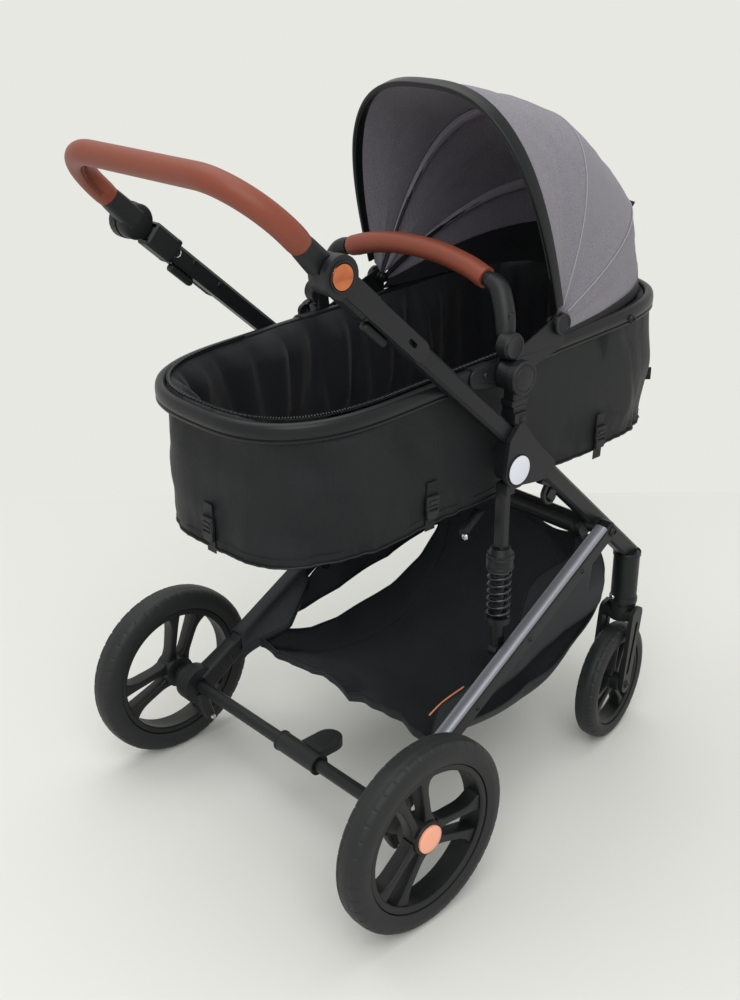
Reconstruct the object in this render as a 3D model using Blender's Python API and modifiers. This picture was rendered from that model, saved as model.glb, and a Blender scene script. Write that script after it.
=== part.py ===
"""A pram travel system: folding frame on four wheels, carrycot with hood and bumper bar, handle and basket.

Metres. +Y is the way the pram travels, +X is its right side, +Z is up. The origin is on the ground,
under the middle of the whole object. Angles of parts in the side view are measured from +Y towards +Z.
"""

import math

import bmesh
import bpy
from mathutils import Matrix, Vector

# Fits
CLEAR = 0.0003  # gap between pieces that touch
RUN = 0.0003  # radial gap of a pin in its hole
WELD = 0.00001
CUT_OVER = 0.002  # how far a cutter reaches past a face

# Rear wheels
REAR_AXLE_Y = -0.242
REAR_TRACK = 0.5666
REAR_TYRE_R = 0.140
REAR_TYRE_HALF_W = 0.022
REAR_TYRE_DEPTH = 0.0315
REAR_RIM_DEPTH = 0.0110
REAR_RIM_HALF_W = 0.0175
REAR_HUB_R = 0.025
REAR_HUB_IN = 0.0205
REAR_HUB_OUT = 0.0150
REAR_SPOKE_PHASES = {"right": math.radians(-12), "left": math.radians(74)}
REAR_STEPS = 32
HUB_CAP_R = 0.020
HUB_CAP_T = 0.0030

# Front wheels
FRONT_TYRE_R = 0.0975
FRONT_TYRE_HALF_W = 0.018
FRONT_TYRE_DEPTH = 0.0225
FRONT_RIM_DEPTH = 0.0085
FRONT_RIM_HALF_W = 0.0135
FRONT_HUB_R = 0.015
FRONT_HUB_HALF_W = 0.0215
FRONT_SPOKE_PHASE = math.radians(75)
FRONT_STEPS = 24

# Casters
CASTER_X = 0.1765
CASTER_Y = 0.326
CASTER_TRAIL = 0.0265
CASTER_YAW = math.radians(11.3)
BARREL_R = 0.021
BARREL_LOW = 0.231
BARREL_HIGH = 0.322
STEM_R = 0.008
STEM_LENGTH = 0.045
FORK_CROWN_H = 0.026
FORK_CROWN_R = 0.0215
FORK_LEG_T = 0.0075
FORK_LEG_TOP_W = 0.030
FORK_FOOT_R = 0.0150
FORK_SLOT_R = 0.0045
FRONT_AXLE_R = 0.004

# Side frame
TUBE_X = 0.192
TUBE_W = 0.022
TUBE_H = 0.025
PIVOT_Y = 0.008
PIVOT_Z = 0.565
PIVOT_PIN_R = 0.009
KNUCKLE_R = 0.020
PLATE_T = 0.0070
PLATE_ON_LEG = 0.016
BADGE_R = 0.0205
BADGE_T = 0.0015
BADGE_LOBE = 0.0055

# Front legs and crossbar
LEG_W = 0.022
LEG_H = 0.0265
LEG_TOP_Y = 0.066
LEG_TOP_Z = 0.556
LEG_FOOT_Z = 0.324
LEG_PAST_BARREL = 0.012
JOINT_F_Y = 0.2185
JOINT_BOSS_R = 0.013
JOINT_PIN_R = 0.006
CROSSBAR_R = 0.0160
CROSSBAR_Y = 0.221
CROSSBAR_Z = 0.397
HOOK_ALONG = 0.073

# Lower rails
RAIL_W = 0.022
RAIL_H = 0.024
RAIL_X = 0.2146
RAIL_X_SLOPE = -0.018
RAIL_Z = 0.2782
RAIL_Z_SLOPE = 0.592

# Rear axle, brackets and brake
AXLE_TUBE_R = 0.010
AXLE_END_R = 0.006
BRACKET_R = 0.030
BRACKET_IN_X = 0.2075
BRACKET_OUT_X = 0.236
BRACKET_NOSE_R = 0.014
BRACKET_GAP = 0.0015
PEDAL_X0 = -0.005
PEDAL_X1 = 0.076
PEDAL_SLEEVE_R = 0.0150
PEDAL_PAD_X = 0.046
PEDAL_PAD_W = 0.041
PEDAL_PAD_T = 0.013
PEDAL_REACH = 0.066

# Struts
STRUT_Y = 0.002
STRUT_W = 0.0175
STRUT_D = 0.0165
CUP_R = 0.019
CUP_LOW = 0.412
CUP_H = 0.024
CUP_TAPER = 0.009
ROD_R = 0.0075
ROD_BORE_DEPTH = 0.034
SPRING_R = 0.0155
SPRING_WIRE_R = 0.002
SPRING_CURLS = 7
CURL_POINTS = 8
LOW_CUP_Z = 0.3365
LOW_CUP_T = 0.0095
LOW_CUP_R = 0.0178
ROD_LOW_R = 0.010
ROD_EYE_Z = 0.281
ROD_EYE_R = 0.011
STRUT_BOSS_R = 0.009

# Handle frame
HANDLE_ANGLE = math.radians(41.4)
HANDLE_OFFSET = 0.031
HANDLE_LENGTH = 0.446
TUBE_ROOT = 0.030
HINGE_R = 0.0245
HINGE_OUT_T = 0.0100
HINGE_PLATE_T = 0.0057
HINGE_PLATE_LENGTH = 0.171
HINGE_PLATE_END_R = 0.013
HINGE_SLEEVE_FROM = 0.024
HINGE_SLEEVE_TO = 0.074
HINGE_SLEEVE_H = 0.034
HINGE_SLEEVE_W = 0.0275
HINGE_PIN_R = 0.007
HINGE_SLOT_R = 0.0035
HINGE_SLOT_AT = 0.146
BUTTON_R = 0.0150
BUTTON_TRAVEL = 0.0030
BUTTON_PROUD = 0.0012
BAR_HUB_R = 0.0235
BAR_X = 0.1885
BAR_R = 0.011
BAR_ANGLE = math.radians(135)
BAR_REACH = 0.152
BAR_CORNER_R = 0.085
GRIP_START = 0.052
GRIP_R = 0.0152
TRIGGER_AT = 0.342
TRIGGER_L = 0.046
TRIGGER_H = 0.011
TRIGGER_W = 0.012

# Seat posts and release buttons
POST_W = 0.020
POST_D = 0.024
POST_Y = 0.014
POST_LOW = 0.6525
LEDGE_H = 0.009
SOCKET_ABOVE = 0.009
TONGUE_SIZE = 0.006
TONGUE_LENGTH = 0.009
LEDGE_OUT = 0.0035
EYE_R = 0.0205
RELEASE_SIZE = 0.0062
RELEASE_DEPTH = 0.0075
RELEASE_TRAVEL = 0.0025
RELEASE_PROUD = 0.0010
RELEASE_Y = 0.018
RELEASE_Z = 0.6335

# Carrycot
SEAT_HUB_Y = 0.006
SEAT_HUB_Z = 0.695
SEAT_STEM_R = 0.012
SEAT_CAP_R = 0.0235
SEAT_CAP_T = 0.011
SEAT_PLATE_T = 0.0027
SEAT_PLATE_R = 0.020
SEAT_PLATE_END_R = 0.0125
SEAT_PLATE_DROP = 0.024
SEAT_ARM_REACH = 0.053
COT_HALF_W = 0.177
COT_FOOT_Y = -0.368
COT_HEAD_Y = 0.425
COT_END_L = 0.200
COT_FOOT_POWER = 2.77
COT_HEAD_POWER = 3.1
RIM_Z = 0.7126
RIM_SLOPE = 0.0533
RIM_H = 0.026
RIM_T = 0.014
RIM_BEVEL = 0.0035
RIM_POINTS = 32
BODY_INSET = 0.005
BODY_WALL = 0.004
BODY_TAPER = 0.005
BODY_BULGE = 0.004
BODY_FOOT_Z = 0.496
BODY_HEAD_Z = 0.530
BODY_FOOT_DRAW = 0.008
BODY_FOOT_INSET = 0.012
BODY_FLOOR = 0.006
MATTRESS_H = 0.030
MATTRESS_GAP = 0.004
MATTRESS_CROWN = 0.008
MATTRESS_DRAW = 0.010

# Bumper bar
BUMPER_Y = 0.002
BUMPER_Z = 0.735
BUMPER_DISC_R = 0.0185
BUMPER_PIN_R = 0.006
BUMPER_ANGLE = math.radians(77)
BUMPER_TUBE_R = 0.010
BUMPER_GRIP_R = 0.0148
BUMPER_ROUTE = (
    (0.190, 0.004),
    (0.190, 0.016),
    (0.180, 0.033),
    (0.166, 0.051),
    (0.159, 0.0665),
    (0.146, 0.0725),
    (0.128, 0.0765),
    (0.097, 0.0865),
    (0.050, 0.0945),
    (0.000, 0.0970),
)
BUMPER_GRIP_FROM = 6

# Hood
HOOD_Y = 0.1155
HOOD_Z = 0.7395
HOOD_DISC_R = 0.015
HOOD_PIN_R = 0.004
HOOD_POWER = 2.84
HOOD_CLOTH_T = 0.0020
HOOD_START = math.radians(8)
HOOD_COLUMNS = 18
FRONT_BOW_ANGLE = math.radians(105.5)
MID_BOW_ANGLE = math.radians(67)
REAR_BOW_ANGLE = math.radians(27)
FRONT_BOW_H = 0.319
MID_BOW_H = 0.2815
REAR_BOW_H = 0.296
HEAD_HEM_H = 0.3045
FRONT_BOW_A = 0.187
MID_BOW_A = 0.1765
REAR_BOW_A = 0.1750
HEAD_HEM_A = 0.1760
BOW_BAND_W = 0.020
BOW_BAND_T = 0.0062
BOW_WIRE_R = 0.0035
BOW_EYE_R = 0.0075
BOW_EYE_T = 0.0045
BOW_BEND = 0.070
CLOTH_DIPS = {"front": 0.010, "mid": 0.008, "rear": 0.004}
CLOTH_SPLIT = math.radians(0.4)

# Basket
BASKET_TOP_HALF_W = 0.208
BASKET_FLOOR_HALF_W = 0.172
BASKET_LOW_Z = 0.125
BASKET_CLOTH_T = 0.0030
BASKET_FLOOR = (
    (-0.130, 0.172),
    (-0.095, 0.160),
    (-0.050, 0.145),
    (0.000, 0.133),
    (0.050, 0.126),
    (0.100, 0.128),
    (0.150, 0.139),
    (0.195, 0.165),
    (0.235, 0.200),
    (0.265, 0.240),
    (0.278, 0.285),
    (0.272, 0.330),
)
BASKET_REAR_LIP = 0.020
BASKET_TOP_YS = (0.196, 0.130, 0.060, 0.000, -0.060)
BASKET_FRONT_HALF_W = 0.163
BASKET_FRONT_FROM = 0.300
BASKET_FRONT_TO = 0.340
BASKET_FRONT_Y = 0.200
SIDE_SLOT = (
    (-0.070, 0.184),
    (0.000, 0.170),
    (0.060, 0.165),
    (0.113, 0.167),
    (0.170, 0.182),
    (0.205, 0.212),
    (0.180, 0.248),
    (0.101, 0.229),
    (0.000, 0.205),
)

# Colours, as they read in sRGB, with roughness and metallic
FINISHES = {
    "frame_black": ((46, 46, 47), 0.45, 0.3),
    "rail_grey": ((88, 90, 95), 0.35, 0.7),
    "plastic_black": ((38, 38, 39), 0.5, 0.0),
    "tyre_rubber": ((42, 42, 43), 0.75, 0.0),
    "wheel_black": ((48, 48, 50), 0.5, 0.0),
    "copper": ((226, 140, 98), 0.25, 0.9),
    "orange_cap": ((238, 140, 108), 0.4, 0.1),
    "badge_white": ((225, 228, 236), 0.35, 0.0),
    "tan_leather": ((136, 72, 54), 0.55, 0.0),
    "hood_fabric": ((120, 114, 124), 0.9, 0.0),
    "black_fabric": ((28, 28, 30), 0.85, 0.0),
    "spring_steel": ((40, 40, 42), 0.35, 0.8),
}

# Derived places
TUBE_IN_X = TUBE_X - TUBE_W / 2
TUBE_OUT_X = TUBE_X + TUBE_W / 2
PLATE_IN_X = TUBE_OUT_X + 0.001
PLATE_OUT_X = PLATE_IN_X + PLATE_T
BLOCK_OUT_X = PLATE_IN_X + 0.001
REAR_WHEEL_X = REAR_TRACK / 2
LEG_TOP = Vector((TUBE_X - 0.002, LEG_TOP_Y, LEG_TOP_Z))
LEG_FOOT = Vector((CASTER_X, CASTER_Y, LEG_FOOT_Z))


def frame_up(angle):
    """The side-view direction at this angle from +Y towards +Z."""
    return Vector((0, math.cos(angle), math.sin(angle)))


HANDLE_UP = frame_up(math.pi - HANDLE_ANGLE)
HANDLE_NORMAL = frame_up(math.pi / 2 - HANDLE_ANGLE)
PIVOT = Vector((0, PIVOT_Y, PIVOT_Z))
HANDLE_FOOT = PIVOT + HANDLE_NORMAL * HANDLE_OFFSET
HINGE = HANDLE_FOOT + HANDLE_UP * HANDLE_LENGTH
HOOD_PIVOT = Vector((0, HOOD_Y, HOOD_Z))


def rail_centre(y):
    return Vector((RAIL_X + RAIL_X_SLOPE * y, y, RAIL_Z + RAIL_Z_SLOPE * y))


def leg_centre(y):
    share = (y - LEG_TOP.y) / (LEG_FOOT.y - LEG_TOP.y)
    return LEG_TOP.lerp(LEG_FOOT, share)


def rim_top(y):
    return RIM_Z + RIM_SLOPE * y


for old in list(bpy.data.objects):
    bpy.data.objects.remove(old)
parts = bpy.data.collections.new("travel_system")
bpy.context.scene.collection.children.link(parts)


# Tools for making shapes
def linked(name, data):
    obj = bpy.data.objects.new(name, data)
    parts.objects.link(obj)
    return obj


def from_bmesh(bm):
    """A new object from a bmesh, with its faces turned outwards."""
    bmesh.ops.recalc_face_normals(bm, faces=bm.faces)
    mesh = bpy.data.meshes.new("shape")
    bm.to_mesh(mesh)
    bm.free()
    return linked("shape", mesh)


def baked(obj):
    """The evaluated shape of obj as a plain mesh in world space, with loose caps welded."""
    bpy.context.view_layer.update()
    graph = bpy.context.evaluated_depsgraph_get()
    mesh = bpy.data.meshes.new_from_object(obj.evaluated_get(graph))
    mesh.transform(obj.matrix_world)
    bpy.data.objects.remove(obj)
    bm = bmesh.new()
    bm.from_mesh(mesh)
    bmesh.ops.remove_doubles(bm, verts=bm.verts, dist=WELD)
    return from_bmesh(bm)


def combined(operation, base, others):
    for other in others:
        modifier = base.modifiers.new(operation, "BOOLEAN")
        modifier.operation = operation
        modifier.solver = "EXACT"
        modifier.object = other
        other.hide_render = True
    made = baked(base)
    for other in others:
        bpy.data.objects.remove(other)
    return made


def fused(base, *others):
    return combined("UNION", base, others)


def cut(base, *others):
    return combined("DIFFERENCE", base, others)


def moved(obj, matrix):
    obj.data.transform(matrix)
    return obj


def box(low, high, bevel=0.0, segments=1):
    """A box between two corners, with its edges rounded."""
    low, high = Vector(low), Vector(high)
    bm = bmesh.new()
    bmesh.ops.create_cube(bm, size=1.0)
    bmesh.ops.scale(bm, vec=high - low, verts=bm.verts)
    bmesh.ops.translate(bm, vec=(low + high) / 2, verts=bm.verts)
    if bevel:
        bmesh.ops.bevel(bm, geom=bm.edges, offset=bevel, segments=segments, profile=0.5, affect="EDGES")
    return from_bmesh(bm)


def along(direction, side=Vector((1, 0, 0))):
    """A rotation whose Y axis runs along direction and whose X axis is as near side as it can be."""
    forward = Vector(direction).normalized()
    across = (side - forward * side.dot(forward)).normalized()
    up = across.cross(forward)
    return Matrix((across, forward, up)).transposed().to_4x4()


def bar(start, end, width, height, bevel=0.0, segments=1):
    """A bar from start to end, width across X and height square to it."""
    start, end = Vector(start), Vector(end)
    length = (end - start).length
    obj = box((-width / 2, 0, -height / 2), (width / 2, length, height / 2), bevel, segments)
    return moved(obj, Matrix.Translation(start) @ along(end - start))


def rod(start, end, radius, segments=16, end_radius=None):
    """A round bar or cone from start to end, with a flat at the top and bottom of its outline."""
    start, end = Vector(start), Vector(end)
    bm = bmesh.new()
    top = radius if end_radius is None else end_radius
    bmesh.ops.create_cone(
        bm, cap_ends=True, segments=segments, radius1=radius, radius2=top, depth=(end - start).length
    )
    turn = (end - start).to_track_quat("Z", "Y").to_matrix().to_4x4()
    spin = Matrix.Rotation(math.pi / segments, 4, "Z")
    obj = from_bmesh(bm)
    return moved(obj, Matrix.Translation((start + end) / 2) @ turn @ spin)


def disc(x0, x1, y, z, radius, segments=24):
    return rod((x0, y, z), (x1, y, z), radius, segments)


def turned(profile, steps, centre, closed=False, phase=0.0):
    """A shape turned about an axis along X. profile is (radius, x), from its +X side to its -X side."""
    mesh = bpy.data.meshes.new("profile")
    verts = [(radius, 0, x) for radius, x in profile]
    edges = [(i, i + 1) for i in range(len(verts) - 1)]
    if closed:
        edges.append((len(verts) - 1, 0))
    mesh.from_pydata(verts, edges, [])
    obj = linked("turned", mesh)
    screw = obj.modifiers.new("turn", "SCREW")
    screw.axis = "Z"
    screw.steps = steps
    screw.render_steps = steps
    screw.use_merge_vertices = True
    screw.merge_threshold = WELD
    made = baked(obj)
    lay_down = Matrix(((0, 0, 1, 0), (1, 0, 0, 0), (0, 1, 0, 0), (0, 0, 0, 1)))
    return moved(made, Matrix.Translation(centre) @ Matrix.Rotation(phase, 4, "X") @ lay_down)


def prism(outline, x0, x1):
    """A flat piece whose side view is outline, a list of (y, z), between two x."""
    curve = bpy.data.curves.new("outline", "CURVE")
    curve.dimensions = "2D"
    curve.fill_mode = "BOTH"
    curve.extrude = (x1 - x0) / 2
    spline = curve.splines.new("POLY")
    spline.points.add(len(outline) - 1)
    for point, (y, z) in zip(spline.points, outline):
        point.co = (y, z, 0, 1)
    spline.use_cyclic_u = True
    made = baked(linked("outline", curve))
    stand_up = Matrix(((0, 0, 1, (x0 + x1) / 2), (1, 0, 0, 0), (0, 1, 0, 0), (0, 0, 0, 1)))
    return moved(made, stand_up)


def hull(circles, steps=12):
    """The outline of a band pulled tight round some circles, each (y, z, radius)."""
    points = []
    for y, z, radius in circles:
        for i in range(steps):
            turn = 2 * math.pi * (i + 0.5) / steps
            points.append((y + radius * math.cos(turn), z + radius * math.sin(turn)))
    points.sort()
    edges = []
    for run in (points, points[::-1]):
        side = []
        for p in run:
            while len(side) > 1 and turns_right(side[-2], side[-1], p):
                side.pop()
            side.append(p)
        edges += side[:-1]
    return edges


def arc(y, z, radius, start, end, step=30):
    """Points along an arc of the side view, its angles in degrees."""
    count = max(1, round(abs(end - start) / step))
    turns = [math.radians(start + (end - start) * i / count) for i in range(count + 1)]
    points = [(y + radius * math.cos(t), z + radius * math.sin(t)) for t in turns]
    return points if end != start else points[:1]


def turns_right(a, b, c):
    return (b[0] - a[0]) * (c[1] - a[1]) - (b[1] - a[1]) * (c[0] - a[0]) <= 1e-12


def tube(points, radius, sides=8, wall=None):
    """A round tube through points. With a wall it is hollow and open at both ends."""
    curve = bpy.data.curves.new("route", "CURVE")
    curve.dimensions = "3D"
    curve.bevel_depth = radius
    curve.bevel_resolution = (sides - 4) // 2
    curve.use_fill_caps = wall is None
    spline = curve.splines.new("POLY")
    spline.points.add(len(points) - 1)
    for point, place in zip(spline.points, points):
        point.co = (*place, 1)
    obj = linked("route", curve)
    if wall:
        shell = obj.modifiers.new("wall", "SOLIDIFY")
        shell.thickness = wall
        shell.offset = -1
    return baked(obj)


def sleeve(points, inner_r, outer_r, sides=8):
    """A tube that fits over a tube of radius inner_r with the same number of sides, whatever its twist."""
    clear_r = inner_r / math.cos(math.pi / sides) + CLEAR
    return tube(points, outer_r, sides, wall=outer_r - clear_r)


def sheet(rows, thickness, inward=True):
    """A shell over a grid of points, thickened to one side."""
    bm = bmesh.new()
    grid = [[bm.verts.new(p) for p in row] for row in rows]
    for upper, lower in zip(grid, grid[1:]):
        for i in range(len(upper) - 1):
            bm.faces.new((upper[i], upper[i + 1], lower[i + 1], lower[i]))
    obj = from_bmesh(bm)
    shell = obj.modifiers.new("thickness", "SOLIDIFY")
    shell.thickness = thickness
    shell.offset = -1 if inward else 1
    shell.use_even_offset = True
    return baked(obj)


def loft(rings):
    """A closed solid through rings of points, with its first and last ring capped."""
    bm = bmesh.new()
    made = [[bm.verts.new(p) for p in ring] for ring in rings]
    for first, second in zip(made, made[1:]):
        for i in range(len(first)):
            j = (i + 1) % len(first)
            bm.faces.new((first[i], first[j], second[j], second[i]))
    bm.faces.new(made[0])
    bm.faces.new(made[-1][::-1])
    return from_bmesh(bm)


def mirrored(obj):
    """A copy of obj on the other side of the pram."""
    copy = linked("mirrored", obj.data.copy())
    copy.data.transform(Matrix.Scale(-1, 4, (1, 0, 0)))
    copy.data.flip_normals()
    return copy


materials = {}


def material(finish):
    """The Principled material of this finish, made once."""
    if finish not in materials:
        colour, roughness, metallic = FINISHES[finish]
        made = bpy.data.materials.new(finish)
        made.use_nodes = True
        shader = made.node_tree.nodes["Principled BSDF"]
        linear = [((c / 255 + 0.055) / 1.055) ** 2.4 for c in colour]
        shader.inputs["Base Color"].default_value = (*linear, 1)
        shader.inputs["Roughness"].default_value = roughness
        shader.inputs["Metallic"].default_value = metallic
        made.diffuse_color = (*linear, 1)
        materials[finish] = made
    return materials[finish]


def node(name, obj, finish, axis=(0, 0, 0), parent=None):
    """Names a finished piece, paints it, and puts its origin on its joint's axis."""
    obj.name = name
    obj.data.name = name
    obj.data.materials.clear()
    obj.data.materials.append(material(finish))
    obj.data.transform(Matrix.Translation(-Vector(axis)))
    obj.data.shade_smooth()
    obj.data.set_sharp_from_angle(angle=math.radians(35))
    obj.location = Vector(axis)
    if parent is not None:
        obj.parent = parent
        obj.location = Vector(axis) - parent.location
    return obj


def pair(name, obj, finish, axis=(0, 0, 0)):
    """Names a right-hand piece and its mirror image."""
    x, y, z = axis
    left = mirrored(obj)
    node(name + "_right", obj, finish, axis)
    node(name + "_left", left, finish, (-x, y, z))


# Wheels
def tyre(radius, half_w, depth, steps, centre):
    """A tyre with a flat facet under it: its facets, not its corners, have the stated radius."""
    corner = radius / math.cos(math.pi / steps)
    profile = ((corner, half_w * 0.6), (corner - depth * 0.3, half_w), (corner - depth, half_w * 0.86))
    profile += tuple((r, -x) for r, x in reversed(profile))
    return turned(profile, steps, centre, closed=True, phase=math.pi / steps)


def wheel(outer, rim_depth, half_w, hub_r, hub_in, hub_out, bore, phase, steps, centre):
    """A plastic wheel: a rim, a hub and three pairs of spokes that spread towards the rim."""
    inner = outer - rim_depth
    rim = ((outer, half_w), (outer, -half_w), (inner, -half_w), (inner, half_w))
    pieces = [turned(rim, steps, centre, closed=True, phase=math.pi / steps)]
    hub = ((bore, hub_out), (hub_r, hub_out), (hub_r, -hub_in), (bore, -hub_in))
    pieces.append(turned(hub, 16, centre, closed=True))
    for i in range(3):
        for side in (-1, 1):
            turn = phase + i * 2 * math.pi / 3
            out, across = frame_up(turn), frame_up(turn + math.pi / 2)
            start = centre + out * (hub_r * 0.72) + across * (side * hub_r * 0.45)
            end = centre + out * (inner + rim_depth * 0.4) + across * (side * inner * 0.20)
            pieces.append(bar(start, end, half_w * 1.1, outer * 0.085))
    return fused(*pieces)


def rear_wheels():
    centre = Vector((REAR_WHEEL_X, REAR_AXLE_Y, REAR_TYRE_R))
    rear_tyre = tyre(REAR_TYRE_R, REAR_TYRE_HALF_W, REAR_TYRE_DEPTH, REAR_STEPS, centre)
    pair("rear_tyre", rear_tyre, "tyre_rubber", centre)
    seat = REAR_TYRE_R / math.cos(math.pi / REAR_STEPS) - REAR_TYRE_DEPTH - CLEAR
    for side, phase in REAR_SPOKE_PHASES.items():
        made = wheel(
            seat,
            REAR_RIM_DEPTH,
            REAR_RIM_HALF_W,
            REAR_HUB_R,
            REAR_HUB_IN,
            REAR_HUB_OUT,
            AXLE_END_R + RUN,
            phase,
            REAR_STEPS,
            centre,
        )
        if side == "left":
            turned_over = mirrored(made)
            bpy.data.objects.remove(made)
            made = turned_over
        place = (centre.x if side == "right" else -centre.x, centre.y, centre.z)
        node("rear_wheel_" + side, made, "wheel_black", place)
    face = REAR_WHEEL_X + REAR_HUB_OUT + CLEAR
    face_r = HUB_CAP_R * 0.93
    cap = ((0, HUB_CAP_T), (face_r, HUB_CAP_T), (HUB_CAP_R, HUB_CAP_T * 0.6), (HUB_CAP_R, 0), (0, 0))
    made = turned(cap, 20, (face, REAR_AXLE_Y, REAR_TYRE_R))
    pair("hub_cap", made, "orange_cap", centre)


def casters():
    """Each fork and wheel is built straight, then turned with its swivel."""
    wheel_y = CASTER_Y - CASTER_TRAIL
    leg_in = FRONT_HUB_HALF_W + CLEAR * 3
    leg_out = leg_in + FORK_LEG_T
    crown_low = BARREL_LOW - CLEAR - FORK_CROWN_H
    for side, word in ((1, "right"), (-1, "left")):
        x = side * CASTER_X
        centre = Vector((x, wheel_y, FRONT_TYRE_R))
        swivel = bpy.data.objects.new("caster_swivel_" + word, None)
        parts.objects.link(swivel)
        swivel.location = (x, CASTER_Y, BARREL_LOW)
        crown = rod((x, CASTER_Y, crown_low), (x, CASTER_Y, BARREL_LOW - CLEAR), FORK_CROWN_R, 16)
        bridge = box(
            (x - leg_out, CASTER_Y - FORK_LEG_TOP_W * 0.62, crown_low),
            (x + leg_out, CASTER_Y + FORK_LEG_TOP_W * 0.30, BARREL_LOW - CLEAR - FORK_CROWN_H * 0.3),
            0.004,
        )
        stem = rod((x, CASTER_Y, crown_low + 0.002), (x, CASTER_Y, BARREL_LOW + STEM_LENGTH), STEM_R, 12)
        pieces = [crown, bridge, stem]
        slots = []
        for leg in (-1, 1):
            x0, x1 = sorted((x + leg * leg_in, x + leg * leg_out))
            outline = hull(
                (
                    (CASTER_Y - 0.012, crown_low + 0.012, FORK_LEG_TOP_W * 0.4),
                    (CASTER_Y + 0.001, crown_low + 0.012, FORK_LEG_TOP_W * 0.4),
                    (wheel_y, FRONT_TYRE_R, FORK_FOOT_R),
                )
            )
            pieces.append(prism(outline, x0, x1))
            top = Vector((CASTER_Y - 0.006, crown_low - 0.004))
            foot = Vector((wheel_y + 0.001, FRONT_TYRE_R + FORK_FOOT_R * 1.5))
            ends = ((top.x, top.y, FORK_SLOT_R), (foot.x, foot.y, FORK_SLOT_R))
            slots.append(prism(hull(ends, 8), x0 - CUT_OVER, x1 + CUT_OVER))
        axle = disc(x - leg_out - 0.0015, x + leg_out + 0.0015, wheel_y, FRONT_TYRE_R, FRONT_AXLE_R, 10)
        made = fused(cut(fused(*pieces), *slots), axle)
        node("caster_fork_" + word, made, "plastic_black", (x, CASTER_Y, BARREL_LOW), swivel)
        made = tyre(FRONT_TYRE_R, FRONT_TYRE_HALF_W, FRONT_TYRE_DEPTH, FRONT_STEPS, centre)
        node("front_tyre_" + word, made, "tyre_rubber", centre, swivel)
        seat = FRONT_TYRE_R / math.cos(math.pi / FRONT_STEPS) - FRONT_TYRE_DEPTH - CLEAR
        made = wheel(
            seat,
            FRONT_RIM_DEPTH,
            FRONT_RIM_HALF_W,
            FRONT_HUB_R,
            FRONT_HUB_HALF_W,
            FRONT_HUB_HALF_W,
            FRONT_AXLE_R + RUN,
            FRONT_SPOKE_PHASE,
            FRONT_STEPS,
            centre,
        )
        node("front_wheel_" + word, made, "wheel_black", centre, swivel)
        swivel.rotation_euler = (0, 0, CASTER_YAW)


# Frame
def front_legs():
    """Leg tube with the caster barrel at its foot and the pin that carries the lower rail."""
    down = (LEG_FOOT - LEG_TOP).normalized()
    leg = bar(LEG_TOP, LEG_FOOT + down * LEG_PAST_BARREL, LEG_W, LEG_H, 0.004)
    barrel = rod((CASTER_X, CASTER_Y, BARREL_LOW), (CASTER_X, CASTER_Y, BARREL_HIGH), BARREL_R, 20)
    place = rail_centre(JOINT_F_Y)
    rail_in = place.x - RAIL_W / 2
    boss = disc(leg_centre(JOINT_F_Y).x, rail_in - CLEAR, place.y, place.z, JOINT_BOSS_R, 20)
    pin = disc(leg_centre(JOINT_F_Y).x, place.x + RAIL_W / 2 + 0.001, place.y, place.z, JOINT_PIN_R, 16)
    hook_at = LEG_TOP + down * HOOK_ALONG
    below = down.cross(Vector((1, 0, 0)))
    if below.z > 0:
        below.negate()
    hook = bar(hook_at, hook_at + below * 0.030, LEG_W * 0.55, 0.014, 0.003)
    hole = rod(
        (CASTER_X, CASTER_Y, BARREL_LOW - CUT_OVER),
        (CASTER_X, CASTER_Y, BARREL_LOW + STEM_LENGTH + CUT_OVER),
        STEM_R + RUN,
        16,
    )
    pair("front_leg", cut(fused(leg, barrel, boss, pin, hook), hole), "frame_black")


def crossbar():
    """The sleeved bar between the front legs."""
    reach = leg_centre(CROSSBAR_Y + CROSSBAR_R).x - LEG_W / 2 - CLEAR * 2
    node("front_crossbar", disc(-reach, reach, CROSSBAR_Y, CROSSBAR_Z, CROSSBAR_R, 16), "plastic_black")


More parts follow.
